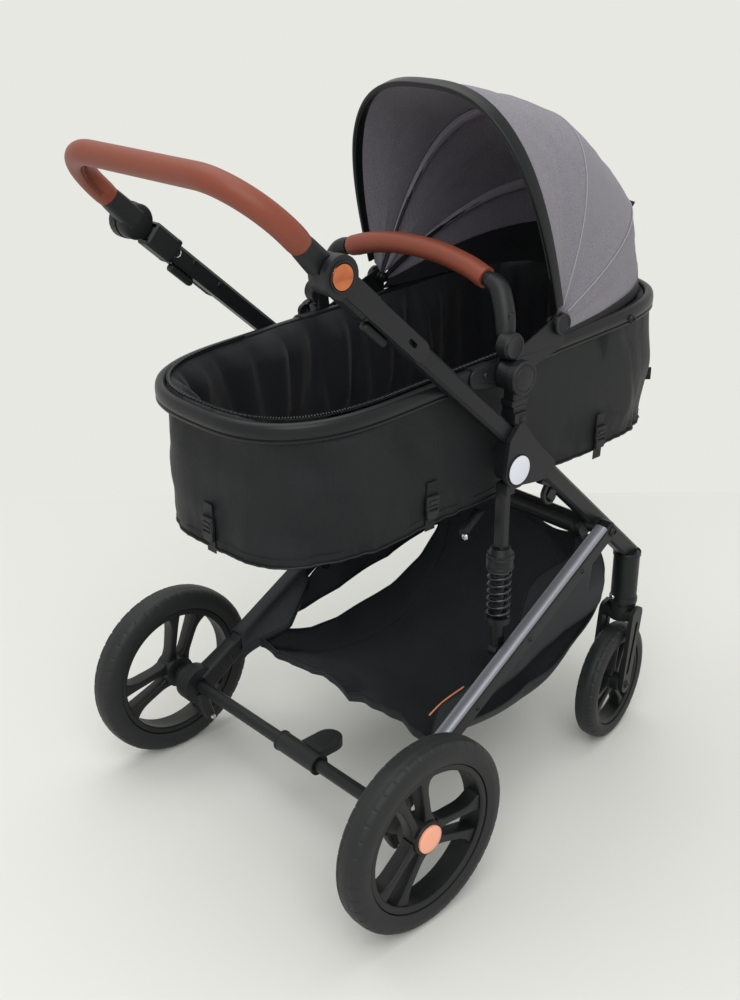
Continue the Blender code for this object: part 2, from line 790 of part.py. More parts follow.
def pivot_housings():
    """The housing that joins leg, strut, seat post and handle: an outer plate, a block and the fold pin."""
    tube_edge = TUBE_H / 2 + CLEAR * 2
    collar = HANDLE_FOOT + HANDLE_UP * 0.045
    high = collar + HANDLE_NORMAL * (TUBE_H / 2 + 0.004)
    low = collar - HANDLE_NORMAL * (TUBE_H / 2 - 0.002)
    lobe_r = BADGE_R + BADGE_LOBE
    down = (LEG_FOOT - LEG_TOP).normalized()
    over = Vector((0, -down.z, down.y)).normalized()
    leg_end = LEG_TOP + down * PLATE_ON_LEG
    upper = leg_end + over * (LEG_H / 2)
    under = leg_end - over * (LEG_H / 2)
    lobe = []
    for i in range(9):
        turn = math.radians(170 + i * 15)
        lobe.append((PIVOT_Y + lobe_r * math.cos(turn), PIVOT_Z + lobe_r * math.sin(turn)))
    outline = [(high.y, high.z), (low.y, low.z), *lobe, (under.y - 0.022, under.z + 0.001)]
    outline += [(under.y, under.z), (upper.y, upper.z)]
    plate = prism(outline, PLATE_IN_X, PLATE_OUT_X)
    tube_top = HANDLE_FOOT + HANDLE_NORMAL * tube_edge
    post_back = POST_Y - POST_D / 2
    post_front = POST_Y + POST_D / 2
    along_tube = HANDLE_UP.z / HANDLE_UP.y
    root = HANDLE_FOOT + HANDLE_UP * TUBE_ROOT + HANDLE_NORMAL * tube_edge
    end_high = LEG_TOP + over * (LEG_H / 2) - down * CLEAR
    end_low = LEG_TOP - over * (LEG_H / 2) - down * CLEAR
    free = KNUCKLE_R + CLEAR * 2
    outline = [
        (post_back, POST_LOW - SOCKET_ABOVE),
        (post_back, tube_top.z + (post_back - tube_top.y) * along_tube),
        (root.y, root.z),
        (PIVOT_Y + free + 0.001, PIVOT_Z + 0.004),
        (PIVOT_Y + free + 0.003, PIVOT_Z - 0.012),
        (end_low.y, end_low.z),
        (end_high.y, end_high.z),
        (post_front, POST_LOW - 0.030),
        (post_front, POST_LOW - SOCKET_ABOVE),
    ]
    block = prism(outline, TUBE_IN_X, BLOCK_OUT_X)
    socket_low = (TUBE_X - POST_W / 2, post_back, POST_LOW - 0.030)
    socket = box(socket_low, (TUBE_X + POST_W / 2, post_front, POST_LOW - CLEAR))
    pin = disc(TUBE_IN_X, BLOCK_OUT_X, PIVOT_Y, PIVOT_Z, PIVOT_PIN_R, 16)
    room_start = HANDLE_FOOT + Vector((TUBE_X, 0, 0))
    handle_room = bar(room_start, room_start + HANDLE_UP * 0.12, TUBE_W + 0.001, 2 * tube_edge)
    pocket = box(*release_cutter(CLEAR))
    made = cut(fused(plate, cut(fused(block, socket), handle_room), pin), tongue_box(CLEAR), pocket)
    pair("pivot_housing", made, "plastic_black", (0, PIVOT_Y, PIVOT_Z))
    face = PLATE_OUT_X + CLEAR
    badge = ((0, BADGE_T), (BADGE_R * 0.95, BADGE_T), (BADGE_R, BADGE_T * 0.4), (BADGE_R, 0), (0, 0))
    pair("badge", turned(badge, 24, (face, PIVOT_Y, PIVOT_Z)), "badge_white")


def lower_rails():
    """Rails from the axle brackets up to the pins on the front legs, with the bosses that the struts meet."""
    slope = math.atan(RAIL_Z_SLOPE)
    off = (REAR_TYRE_R - rail_centre(REAR_AXLE_Y).z) * math.sin(slope)
    low = rail_centre(REAR_AXLE_Y + (off + BRACKET_R + CLEAR * 2) * math.cos(slope))
    high = rail_centre(JOINT_F_Y + 0.0085)
    rail = bar(low, high, RAIL_W, RAIL_H, 0.003)
    place = rail_centre(JOINT_F_Y)
    hole = disc(place.x - RAIL_W, place.x + RAIL_W, place.y, place.z, JOINT_PIN_R + RUN, 16)
    at = rail_centre(STRUT_Y)
    rod_face = TUBE_X - 0.002 + ROD_R
    boss = disc(rod_face + CLEAR, at.x, at.y, ROD_EYE_Z, STRUT_BOSS_R, 16)
    pair("lower_rail", fused(cut(rail, hole), boss), "rail_grey")


def axle_brackets():
    """Bracket at each end of the rear axle: a drum on the rail and a cone towards the wheel."""
    nose = REAR_WHEEL_X - REAR_HUB_IN - BRACKET_GAP
    profile = (
        (AXLE_END_R + RUN, nose - BRACKET_IN_X),
        (BRACKET_NOSE_R, nose - BRACKET_IN_X),
        (BRACKET_R * 0.78, BRACKET_OUT_X - BRACKET_IN_X),
        (BRACKET_R, BRACKET_OUT_X - BRACKET_IN_X - 0.003),
        (BRACKET_R, 0),
        (AXLE_END_R + RUN, 0),
    )
    made = turned(profile, 24, (BRACKET_IN_X, REAR_AXLE_Y, REAR_TYRE_R), closed=True, phase=math.pi / 24)
    pair("axle_bracket", made, "plastic_black", (0, REAR_AXLE_Y, REAR_TYRE_R))


def rear_axle():
    shoulder = BRACKET_IN_X - CLEAR
    end = REAR_WHEEL_X + REAR_HUB_OUT - CLEAR
    half = ((0, end), (AXLE_END_R, end), (AXLE_END_R, shoulder), (AXLE_TUBE_R, shoulder))
    profile = half + tuple((r, -x) for r, x in reversed(half))
    made = turned(profile, 16, (0, REAR_AXLE_Y, REAR_TYRE_R))
    node("rear_axle", made, "frame_black", (0, REAR_AXLE_Y, REAR_TYRE_R))


def brake_pedal():
    """A sleeve on the axle tube with a tongue for the foot."""
    sleeve = disc(PEDAL_X0, PEDAL_X1, REAR_AXLE_Y, REAR_TYRE_R, PEDAL_SLEEVE_R, 20)
    pad_end = REAR_AXLE_Y + PEDAL_REACH
    pad_z = REAR_TYRE_R + 0.004
    pad = box(
        (PEDAL_PAD_X - PEDAL_PAD_W / 2, REAR_AXLE_Y, pad_z - PEDAL_PAD_T / 2),
        (PEDAL_PAD_X + PEDAL_PAD_W / 2, pad_end - PEDAL_PAD_W / 2, pad_z + PEDAL_PAD_T / 2),
    )
    tip_at = Vector((PEDAL_PAD_X, pad_end - PEDAL_PAD_W / 2, pad_z))
    half_pad = Vector((0, 0, PEDAL_PAD_T / 2))
    tip = rod(tip_at - half_pad, tip_at + half_pad, PEDAL_PAD_W / 2, 20)
    hole = disc(PEDAL_X0 - CUT_OVER, PEDAL_X1 + CUT_OVER, REAR_AXLE_Y, REAR_TYRE_R, AXLE_TUBE_R + RUN, 16)
    made = cut(fused(sleeve, pad, tip), hole)
    node("brake_pedal", made, "plastic_black", (0, REAR_AXLE_Y, REAR_TYRE_R))


# Suspension struts
def strut_tubes():
    """Upper strut tube with the cup that holds the spring's top and the bore that the rod runs in."""
    x = TUBE_X - 0.002
    top = PIVOT_Z - KNUCKLE_R - 0.0015
    tube_low = CUP_LOW + CUP_H
    shaft = box(
        (x - STRUT_W / 2, STRUT_Y - STRUT_D / 2, tube_low - 0.002),
        (x + STRUT_W / 2, STRUT_Y + STRUT_D / 2, top),
        0.003,
    )
    lug = box((x, STRUT_Y - STRUT_D / 2, top - 0.016), (PLATE_IN_X - CLEAR, STRUT_Y + STRUT_D / 2, top))
    cup = rod((x, STRUT_Y, CUP_LOW), (x, STRUT_Y, tube_low), CUP_R, 20)
    cone_low = (x, STRUT_Y, tube_low - 0.001)
    cone = rod(cone_low, (x, STRUT_Y, tube_low + CUP_TAPER), CUP_R * 0.95, 20, CUP_R * 0.72)
    hole = rod((x, STRUT_Y, CUP_LOW - CUT_OVER), (x, STRUT_Y, CUP_LOW + ROD_BORE_DEPTH), ROD_R + RUN, 16)
    pair("strut_tube", cut(fused(shaft, lug, cup, cone), hole), "frame_black")


def strut_rods():
    """The rod that slides in the strut tube, with the spring's lower cup and the flat eye beside the rail."""
    x = TUBE_X - 0.002
    cup_low = LOW_CUP_Z - LOW_CUP_T
    stem = rod((x, STRUT_Y, cup_low), (x, STRUT_Y, CUP_LOW + 0.008), ROD_R, 16)
    cup = rod((x, STRUT_Y, cup_low), (x, STRUT_Y, LOW_CUP_Z), LOW_CUP_R, 20)
    shaft = rod((x, STRUT_Y, ROD_EYE_Z + 0.008), (x, STRUT_Y, cup_low + 0.001), ROD_LOW_R, 16)
    cut_low = (x + ROD_R, STRUT_Y - 0.03, ROD_EYE_Z - 0.03)
    side_cut = box(cut_low, (x + 0.03, STRUT_Y + 0.03, ROD_EYE_Z + 0.024))
    eye = disc(x - ROD_R, x + ROD_R, STRUT_Y, ROD_EYE_Z, ROD_EYE_R, 20)
    made = fused(cut(fused(stem, cup, shaft), side_cut), eye)
    pair("strut_rod", made, "frame_black", (x, STRUT_Y, ROD_EYE_Z))


def coil_route():
    """The spring's centre line: straight for a wire's width at each end, then even curls."""
    x = TUBE_X - 0.002
    wire = 2 * SPRING_WIRE_R
    low, high = LOW_CUP_Z + CLEAR, CUP_LOW - CLEAR
    rise = high - low - 2 * wire
    steps = SPRING_CURLS * CURL_POINTS
    route = [Vector((x + SPRING_R, STRUT_Y, low))]
    for i in range(steps + 1):
        turn = 2 * math.pi * i / CURL_POINTS
        at = Vector((SPRING_R * math.cos(turn), SPRING_R * math.sin(turn), 0))
        route.append(at + Vector((x, STRUT_Y, low + wire + rise * i / steps)))
    last = route[-1].copy()
    last.z = high
    route.append(last)
    return route


def least_gap(route, wire_r, apart):
    """The least space between stretches of a coil that are at least apart points from each other."""
    nearest = min(
        (route[i] - route[j]).length for i in range(len(route)) for j in range(i + apart, len(route))
    )
    return nearest - 2 * wire_r


def springs():
    route = coil_route()
    gap = least_gap(route, SPRING_WIRE_R, CURL_POINTS - 1)
    print("spring least gap to itself, mm:", round(1000 * gap, 2))
    pair("spring", tube(route, SPRING_WIRE_R, 6), "spring_steel")


# Handle
def handle_tubes():
    """Handle tube with the knuckle that turns on the fold pin."""
    root = HANDLE_FOOT + HANDLE_UP * TUBE_ROOT
    end = HINGE - HANDLE_UP * (HINGE_R + 0.0015)
    side = Vector((TUBE_X, 0, 0))
    shaft = bar(root + side, end + side, TUBE_W, TUBE_H, 0.004)
    x0, x1 = TUBE_IN_X + 0.002, TUBE_OUT_X - 0.002
    web_top = HANDLE_FOOT + HANDLE_UP * (TUBE_ROOT + 0.006)
    corner = TUBE_H / 2 - 0.003
    a = web_top + HANDLE_NORMAL * corner
    b = web_top - HANDLE_NORMAL * corner
    outline = hull(((PIVOT_Y, PIVOT_Z, KNUCKLE_R), (a.y, a.z, 0.002), (b.y, b.z, 0.002)), 20)
    hole = disc(x0 - CUT_OVER, x1 + CUT_OVER, PIVOT_Y, PIVOT_Z, PIVOT_PIN_R + RUN, 16)
    made = cut(fused(shaft, prism(outline, x0, x1)), hole)
    pair("handle_tube", made, "frame_black", (0, PIVOT_Y, PIVOT_Z))


def handle_hinges():
    """The frame half of each handle hinge: a drum, its pin, and a long plate down the tube's outer side."""
    drum_in = TUBE_OUT_X - 0.003
    drum_out = drum_in + HINGE_OUT_T + 0.003
    plate_in = TUBE_OUT_X + CLEAR
    drum = disc(drum_in, drum_out, HINGE.y, HINGE.z, HINGE_R, 24)
    end = HINGE - HANDLE_UP * HINGE_PLATE_LENGTH
    band = hull(((HINGE.y, HINGE.z, HINGE_PLATE_END_R), (end.y, end.z, HINGE_PLATE_END_R)))
    plate = prism(band, plate_in, plate_in + HINGE_PLATE_T)
    side = Vector((TUBE_X, 0, 0))
    sleeve_top = HINGE - HANDLE_UP * HINGE_SLEEVE_FROM + side
    sleeve_low = HINGE - HANDLE_UP * HINGE_SLEEVE_TO + side
    socket = bar(sleeve_top, sleeve_low, HINGE_SLEEVE_W, HINGE_SLEEVE_H, 0.004)
    bore_top = sleeve_top + HANDLE_UP * 0.05
    bore = bar(bore_top, sleeve_low - HANDLE_UP * 0.01, TUBE_W + CLEAR * 2, TUBE_H + CLEAR * 2)
    pin = disc(BAR_X - 0.006, plate_in + 0.0025, HINGE.y, HINGE.z, HINGE_PIN_R, 16)
    pocket_in = drum_out + BUTTON_PROUD - BUTTON_TRAVEL - 0.005
    pocket = disc(pocket_in, drum_out + CUT_OVER, HINGE.y, HINGE.z, BUTTON_R + RUN, 20)
    slot_a = HINGE - HANDLE_UP * HINGE_SLOT_AT
    slot_b = slot_a - HANDLE_UP * 0.010
    ends = ((slot_a.y, slot_a.z, HINGE_SLOT_R), (slot_b.y, slot_b.z, HINGE_SLOT_R))
    slot = prism(hull(ends, 8), plate_in - CUT_OVER, plate_in + HINGE_PLATE_T + CUT_OVER)
    made = fused(cut(fused(drum, plate, socket), bore, pocket, slot), pin)
    pair("handle_hinge", made, "plastic_black", (0, HINGE.y, HINGE.z))
    button_in = pocket_in + BUTTON_TRAVEL + CLEAR
    length = drum_out + BUTTON_PROUD - button_in
    profile = ((0, length), (BUTTON_R * 0.9, length), (BUTTON_R, length - 0.0012), (BUTTON_R, 0), (0, 0))
    made = turned(profile, 20, (button_in, HINGE.y, HINGE.z), phase=math.pi / 20)
    pair("handle_button", made, "copper", (drum_out, HINGE.y, HINGE.z))


def handlebar_route():
    """The U of the handlebar from hinge to hinge."""
    up = frame_up(BAR_ANGLE)
    start = HINGE + up * 0.012
    rise = BAR_REACH - BAR_CORNER_R
    half = [Vector((BAR_X, start.y, start.z))]
    for reach in (BAR_HUB_R + 0.004, GRIP_START, rise):
        half.append(HINGE + up * reach + Vector((BAR_X, 0, 0)))
    for i in range(1, 6):
        turn = math.pi / 2 * i / 5
        out = BAR_X - BAR_CORNER_R * (1 - math.cos(turn))
        half.append(HINGE + up * (rise + BAR_CORNER_R * math.sin(turn)) + Vector((out, 0, 0)))
    other = [Vector((-p.x, p.y, p.z)) for p in reversed(half)]
    return half + other


def handlebar():
    """The handlebar's tube with a hub at each end, and the leather grip over it."""
    route = handlebar_route()
    hubs, holes = [], []
    for side in (-1, 1):
        x0, x1 = sorted((side * (BAR_X - 0.0080), side * (TUBE_OUT_X - 0.003 - CLEAR)))
        hubs.append(disc(x0, x1, HINGE.y, HINGE.z, BAR_HUB_R, 20))
        h0, h1 = sorted((side * (BAR_X - 0.0065), side * (TUBE_OUT_X + 0.002)))
        holes.append(disc(h0, h1, HINGE.y, HINGE.z, HINGE_PIN_R + RUN, 16))
    made = cut(fused(tube(route, BAR_R, 8), *hubs), *holes)
    node("handlebar", made, "frame_black", (0, HINGE.y, HINGE.z))
    grip = tube(route[2:-2], GRIP_R, 8, wall=GRIP_R - BAR_R - CLEAR)
    node("handle_grip", grip, "tan_leather", (0, HINGE.y, HINGE.z))


def fold_triggers():
    """A fold lever under each handle tube, near the hinge."""
    offset = TUBE_H / 2 + CLEAR + TRIGGER_H / 2
    at = HANDLE_FOOT + HANDLE_UP * TRIGGER_AT - HANDLE_NORMAL * offset + Vector((TUBE_X, 0, 0))
    made = bar(at - HANDLE_UP * TRIGGER_L / 2, at + HANDLE_UP * TRIGGER_L / 2, TRIGGER_W, TRIGGER_H, 0.003)
    pair("fold_trigger", made, "plastic_black", at)


# Seat posts and carrycot
def seat_posts():
    """The post under each seat hub: its tongue stands in the housing, its eye is round the hub's stem."""
    low_x = TUBE_X - POST_W / 2
    high_x = TUBE_X + POST_W / 2
    column = box(
        (low_x, POST_Y - POST_D / 2, POST_LOW), (high_x, POST_Y + POST_D / 2, SEAT_HUB_Z - EYE_R * 0.5), 0.002
    )
    ledge = box(
        (low_x - 0.0010, POST_Y - POST_D / 2 - LEDGE_OUT, POST_LOW),
        (high_x + 0.0010, POST_Y + POST_D / 2 + LEDGE_OUT, POST_LOW + LEDGE_H),
        0.001,
    )
    eye = disc(low_x, high_x, SEAT_HUB_Y, SEAT_HUB_Z, EYE_R, 24)
    tongue = tongue_box(0.0)
    hole = disc(low_x - CUT_OVER, high_x + CUT_OVER, SEAT_HUB_Y, SEAT_HUB_Z, SEAT_STEM_R + RUN, 20)
    made = cut(fused(column, ledge, eye, tongue), hole)
    pair("seat_post", made, "plastic_black", (0, SEAT_HUB_Y, SEAT_HUB_Z))


def tongue_box(grow):
    """The tongue under a post, or with grow the hole that it drops into."""
    x = TUBE_X - 0.0025
    low = (x - TONGUE_SIZE - grow, POST_Y - TONGUE_SIZE - grow, POST_LOW - TONGUE_LENGTH - grow)
    high = (x + TONGUE_SIZE + grow, POST_Y + TONGUE_SIZE + grow, POST_LOW + 0.004)
    return box(low, high)


def release_cutter(grow):
    """The pocket of a release button, or with no growth the button's own block."""
    face = BLOCK_OUT_X
    low = (face - RELEASE_DEPTH - grow, RELEASE_Y - RELEASE_SIZE - grow, RELEASE_Z - RELEASE_SIZE - grow)
    high = (face + CUT_OVER, RELEASE_Y + RELEASE_SIZE + grow, RELEASE_Z + RELEASE_SIZE + grow)
    return low, high


def release_buttons():
    low, high = release_cutter(0.0)
    low = (low[0] + RELEASE_TRAVEL, *low[1:])
    high = (BLOCK_OUT_X + RELEASE_PROUD, *high[1:])
    pair("release_button", box(low, high, 0.0008), "plastic_black", (BLOCK_OUT_X, RELEASE_Y, RELEASE_Z))


def seat_hubs():
    """The plate on each side of the rim, with the tilt stem and cap, the bumper pin and the hood pin."""
    x0 = COT_HALF_W + CLEAR
    x1 = x0 + SEAT_PLATE_T
    post_in = TUBE_X - POST_W / 2
    post_out = TUBE_X + POST_W / 2
    arm_y = SEAT_HUB_Y - SEAT_ARM_REACH
    arm_z = rim_top(arm_y) - RIM_H / 2
    outline = arc(arm_y, arm_z, RIM_H / 2, 90, 270)
    outline += arc(SEAT_HUB_Y, SEAT_HUB_Z, SEAT_PLATE_R, 250, 290)
    outline += arc(HOOD_Y, HOOD_Z - SEAT_PLATE_DROP, SEAT_PLATE_END_R, 290, 350)
    outline += arc(HOOD_Y, HOOD_Z, SEAT_PLATE_END_R, 10, 110)
    outline += arc(SEAT_HUB_Y, SEAT_HUB_Z, SEAT_PLATE_R, 65, 65)
    outline += arc(BUMPER_Y, BUMPER_Z, SEAT_PLATE_END_R * 0.8, 0, 180)
    outline += arc(SEAT_HUB_Y, SEAT_HUB_Z, SEAT_PLATE_R, 125, 125)
    plate = prism(outline, x0, x1)
    stem = disc(x0, post_out + CLEAR + 0.001, SEAT_HUB_Y, SEAT_HUB_Z, SEAT_STEM_R, 16)
    cap = disc(post_out + 0.0013, post_out + 0.0013 + SEAT_CAP_T, SEAT_HUB_Y, SEAT_HUB_Z, SEAT_CAP_R, 20)
    spacer = disc(x0, post_in - CLEAR, SEAT_HUB_Y, SEAT_HUB_Z, SEAT_STEM_R + 0.004, 16)
    bumper_pin = disc(x0, post_out - 0.003, BUMPER_Y, BUMPER_Z, BUMPER_PIN_R, 12)
    pin_in = COT_HALF_W - 3 * BOW_WIRE_R - BOW_EYE_T / 2 - 0.002
    hood_pin = disc(pin_in, FRONT_BOW_A - 0.001, HOOD_Y, HOOD_Z, HOOD_PIN_R, 10)
    made = fused(plate, stem, cap, spacer, bumper_pin, hood_pin)
    pair("seat_hub", made, "plastic_black", (0, SEAT_HUB_Y, SEAT_HUB_Z))


def cot_outline(inset, count=RIM_POINTS):
    """The carrycot's plan, drawn in by inset: straight sides with an oval curve at each end."""
    a = COT_HALF_W - inset
    curve = COT_END_L - inset
    outline = []
    for i in range(count):
        turn = 2 * math.pi * (i + 0.5) / count
        c, s = math.cos(turn), math.sin(turn)
        power = COT_HEAD_POWER if s > 0 else COT_FOOT_POWER
        x = a * math.copysign(abs(c) ** (2 / power), c)
        reach = curve * abs(s) ** (2 / power)
        y = COT_HEAD_Y - COT_END_L + reach if s > 0 else COT_FOOT_Y + COT_END_L - reach
        outline.append((x, y))
    return outline


def carrycot_rim():
    """The oval band round the top of the carrycot."""
    rings = []
    section = (
        (0, RIM_BEVEL),
        (0, RIM_H - RIM_BEVEL),
        (RIM_BEVEL, RIM_H),
        (RIM_T - RIM_BEVEL, RIM_H),
        (RIM_T, RIM_H - RIM_BEVEL),
        (RIM_T, RIM_BEVEL),
        (RIM_T - RIM_BEVEL, 0),
        (RIM_BEVEL, 0),
    )
    for inset, up in section:
        rings.append([(x, y, rim_top(y) - RIM_H + up) for x, y in cot_outline(inset)])
    bm = bmesh.new()
    made = [[bm.verts.new(p) for p in ring] for ring in rings]
    for i, first in enumerate(made):
        second = made[(i + 1) % len(made)]
        for j in range(RIM_POINTS):
            k = (j + 1) % RIM_POINTS
            bm.faces.new((first[j], first[k], second[k], second[j]))
    node("carrycot_rim", from_bmesh(bm), "frame_black", (0, SEAT_HUB_Y, SEAT_HUB_Z))


def body_low(y):
    share = (y - COT_FOOT_Y) / (COT_HEAD_Y - COT_FOOT_Y)
    return BODY_FOOT_Z + (BODY_HEAD_Z - BODY_FOOT_Z) * share


def body_ring(level, wall, count=28):
    """One ring of the carrycot's fabric body. level runs from 0 at the bottom to 1 under the rim."""
    squeeze = BODY_INSET + BODY_TAPER * (1 - level) - BODY_BULGE * math.sin(math.pi * level)
    ring = []
    for x, y in cot_outline(squeeze + wall, count):
        low = body_low(y)
        high = rim_top(y) - RIM_H - CLEAR
        ring.append((x, drawn_in(y, level), low + (high - low) * level))
    return ring


def drawn_in(y, level):
    """The foot end of the fabric body leans in towards its bottom."""
    share = (COT_HEAD_Y - y) / (COT_HEAD_Y - COT_FOOT_Y)
    return y + (BODY_FOOT_INSET + BODY_FOOT_DRAW * (1 - level)) * share


def carrycot_body():
    """The fabric tub under the rim, open at the top."""
    floor = [(x, y, body_low(y) + BODY_FLOOR) for x, y, z in body_ring(0, BODY_WALL)]
    rings = [
        body_ring(0, 0.012),
        body_ring(0.04, 0),
        body_ring(0.35, 0),
        body_ring(0.7, 0),
        body_ring(1, 0),
        body_ring(1, BODY_WALL),
        body_ring(0.7, BODY_WALL),
        body_ring(0.35, BODY_WALL),
        floor,
    ]
    node("carrycot_body", loft(rings), "black_fabric", (0, SEAT_HUB_Y, SEAT_HUB_Z))


def mattress():
    """The pad on the carrycot's floor, crowned on top and drawn in at its sides."""
    rings = []
    levels = ((0.0, 0.4), (0.25, 0.0), (0.55, 0.0), (0.85, 0.35), (1.0, 1.0))
    for up, draw in levels:
        ring = []
        inset = BODY_INSET + BODY_TAPER + BODY_WALL + MATTRESS_GAP + draw * MATTRESS_DRAW
        for x, y in cot_outline(inset, 28):
            y = drawn_in(y, 0)
            ring.append((x, y, body_low(y) + BODY_FLOOR + CLEAR + MATTRESS_H * up))
        rings.append(ring)
    for share in (0.78, 0.5, 0.2):
        ring = []
        for x, y, z in rings[4]:
            crown = MATTRESS_CROWN * (1 - share * share)
            ring.append((x * share, y * share, body_low(y * share) + z - body_low(y) + crown))
        rings.append(ring)
    node("mattress", loft(rings), "black_fabric", (0, SEAT_HUB_Y, SEAT_HUB_Z))


def bumper():
    """The bumper bar: a tube between two discs, with a leather grip over its middle."""
    up = frame_up(BUMPER_ANGLE)
    base = Vector((0, BUMPER_Y, BUMPER_Z))
    half = [base + up * s + Vector((x, 0, 0)) for x, s in BUMPER_ROUTE]
    route = half + [Vector((-p.x, p.y, p.z)) for p in reversed(half[:-1])]
    discs, holes = [], []
    x0 = COT_HALF_W + CLEAR + SEAT_PLATE_T + CLEAR
    x1 = TUBE_X + POST_W / 2 - 0.0025
    for side in (-1, 1):
        a, b = sorted((side * x0, side * x1))
        discs.append(disc(a, b, BUMPER_Y, BUMPER_Z, BUMPER_DISC_R, 16))
        a, b = sorted((side * (x0 - CUT_OVER), side * (x1 + CUT_OVER)))
        holes.append(disc(a, b, BUMPER_Y, BUMPER_Z, BUMPER_PIN_R + RUN, 12))
    made = cut(fused(tube(route, BUMPER_TUBE_R, 8), *discs), *holes)
    node("bumper_bar", made, "plastic_black", (0, BUMPER_Y, BUMPER_Z))
    covered = route[BUMPER_GRIP_FROM:-BUMPER_GRIP_FROM]
    grip = sleeve(covered, BUMPER_TUBE_R, BUMPER_GRIP_R)
    node("bumper_grip", grip, "tan_leather", (0, BUMPER_Y, BUMPER_Z))


# Hood
def bow_point(angle, half_width, height, turn, power=HOOD_POWER):
    """A point on a bow that stands at angle, at turn round it: 0 at the right pivot, pi at the left one."""
    c, s = math.cos(turn), math.sin(turn)
    x = half_width * math.copysign(abs(c) ** (2 / power), c)
    reach = height * abs(s) ** (2 / power)
    return HOOD_PIVOT + frame_up(angle) * reach + Vector((x, 0, 0))


def bow_turns(start=HOOD_START, count=HOOD_COLUMNS):
    return [start + (math.pi - 2 * start) * i / (count - 1) for i in range(count)]


def front_bow():
    """The broad band at the hood's mouth, with a pivot disc at each end."""
    normal = frame_up(FRONT_BOW_ANGLE + math.pi / 2)
    rows = []
    for side in (-1, 1):
        shift = normal * (side * BOW_BAND_W / 2)
        turns = bow_turns(0.0, 20)
        rows.append([bow_point(FRONT_BOW_ANGLE, FRONT_BOW_A, FRONT_BOW_H, t) + shift for t in turns])
    band = sheet(rows, BOW_BAND_T)
    low = min(v.co.x for v in band.data.vertices)
    high = max(v.co.x for v in band.data.vertices)
    discs, holes = [], []
    for side, edge in ((1, high), (-1, low)):
        a, b = sorted((edge, edge - side * BOW_BAND_T))
        discs.append(disc(a, b, HOOD_Y, HOOD_Z, HOOD_DISC_R, 16))
        holes.append(disc(a - CUT_OVER, b + CUT_OVER, HOOD_Y, HOOD_Z, HOOD_PIN_R + RUN, 10))
    made = cut(fused(band, *discs), *holes)
    node("hood_bow_front", made, "plastic_black", (0, HOOD_Y, HOOD_Z))


def wire_bow(name, angle, half_width, height, eye_x):
    """A bow of round wire inside the fabric, with a flat eye on the hood pin at each end."""
    inset = HOOD_CLOTH_T + CLEAR * 2 + BOW_WIRE_R
    start = HOOD_PIVOT + frame_up(angle) * (BOW_EYE_R * 0.7)
    route = [start + Vector((eye_x, 0, 0))]
    for turn in bow_turns(0.06, 19):
        place = bow_point(angle, half_width - inset, height - inset, turn)
        reach = (place - HOOD_PIVOT - Vector((place.x, 0, 0))).length
        blend = min(1.0, 1.4 * max(0.0, 1 - reach / BOW_BEND))
        place.x += (math.copysign(eye_x, place.x) - place.x) * blend
        route.append(place)
    route.append(start - Vector((eye_x, 0, 0)))
    eyes, holes = [], []
    for side in (-1, 1):
        a, b = sorted((side * (eye_x - BOW_EYE_T / 2), side * (eye_x + BOW_EYE_T / 2)))
        eyes.append(disc(a, b, HOOD_Y, HOOD_Z, BOW_EYE_R, 12))
        holes.append(disc(a - CUT_OVER, b + CUT_OVER, HOOD_Y, HOOD_Z, HOOD_PIN_R + RUN, 10))
    made = cut(fused(tube(route, BOW_WIRE_R, 6), *eyes), *holes)
    node(name, made, "plastic_black", (0, HOOD_Y, HOOD_Z))


def hood_panel(word, first, last, rows=4):
    """Fabric between two rows of points, swept round the pivot and dipping a little between them."""
    grid = []
    for i in range(rows + 1):
        share = i / rows
        dip = CLOTH_DIPS[word] * math.sin(math.pi * share)
        row = []
        for a, b in zip(first, last):
            start, end = polar(a), polar(b)
            x, angle, reach = (p + (q - p) * share for p, q in zip(start, end))
            inner = max(0.0, 1 - dip / reach)
            row.append(HOOD_PIVOT + frame_up(angle) * (reach * inner) + Vector((x * (1 - dip / 0.4), 0, 0)))
        grid.append(row)
    node("hood_panel_" + word, sheet(grid, HOOD_CLOTH_T), "hood_fabric", (0, HOOD_Y, HOOD_Z))


def polar(place):
    """A point as its x, its angle round the hood's pivot and its distance from it in the side view."""
    y, z = place.y - HOOD_PIVOT.y, place.z - HOOD_PIVOT.z
    return place.x, math.atan2(z, y), math.hypot(y, z)


def head_hem():
    """The row of points where the hood's fabric meets the rim."""
    row = []
    for turn in bow_turns():
        reach = HEAD_HEM_H * abs(math.sin(turn)) ** (2 / HOOD_POWER)
        hem = rim_top(HOOD_Y + reach) + CLEAR * 2 - HOOD_Z
        place = bow_point(math.asin(hem / reach), HEAD_HEM_A, HEAD_HEM_H, turn)
        row.append(place)
    return row


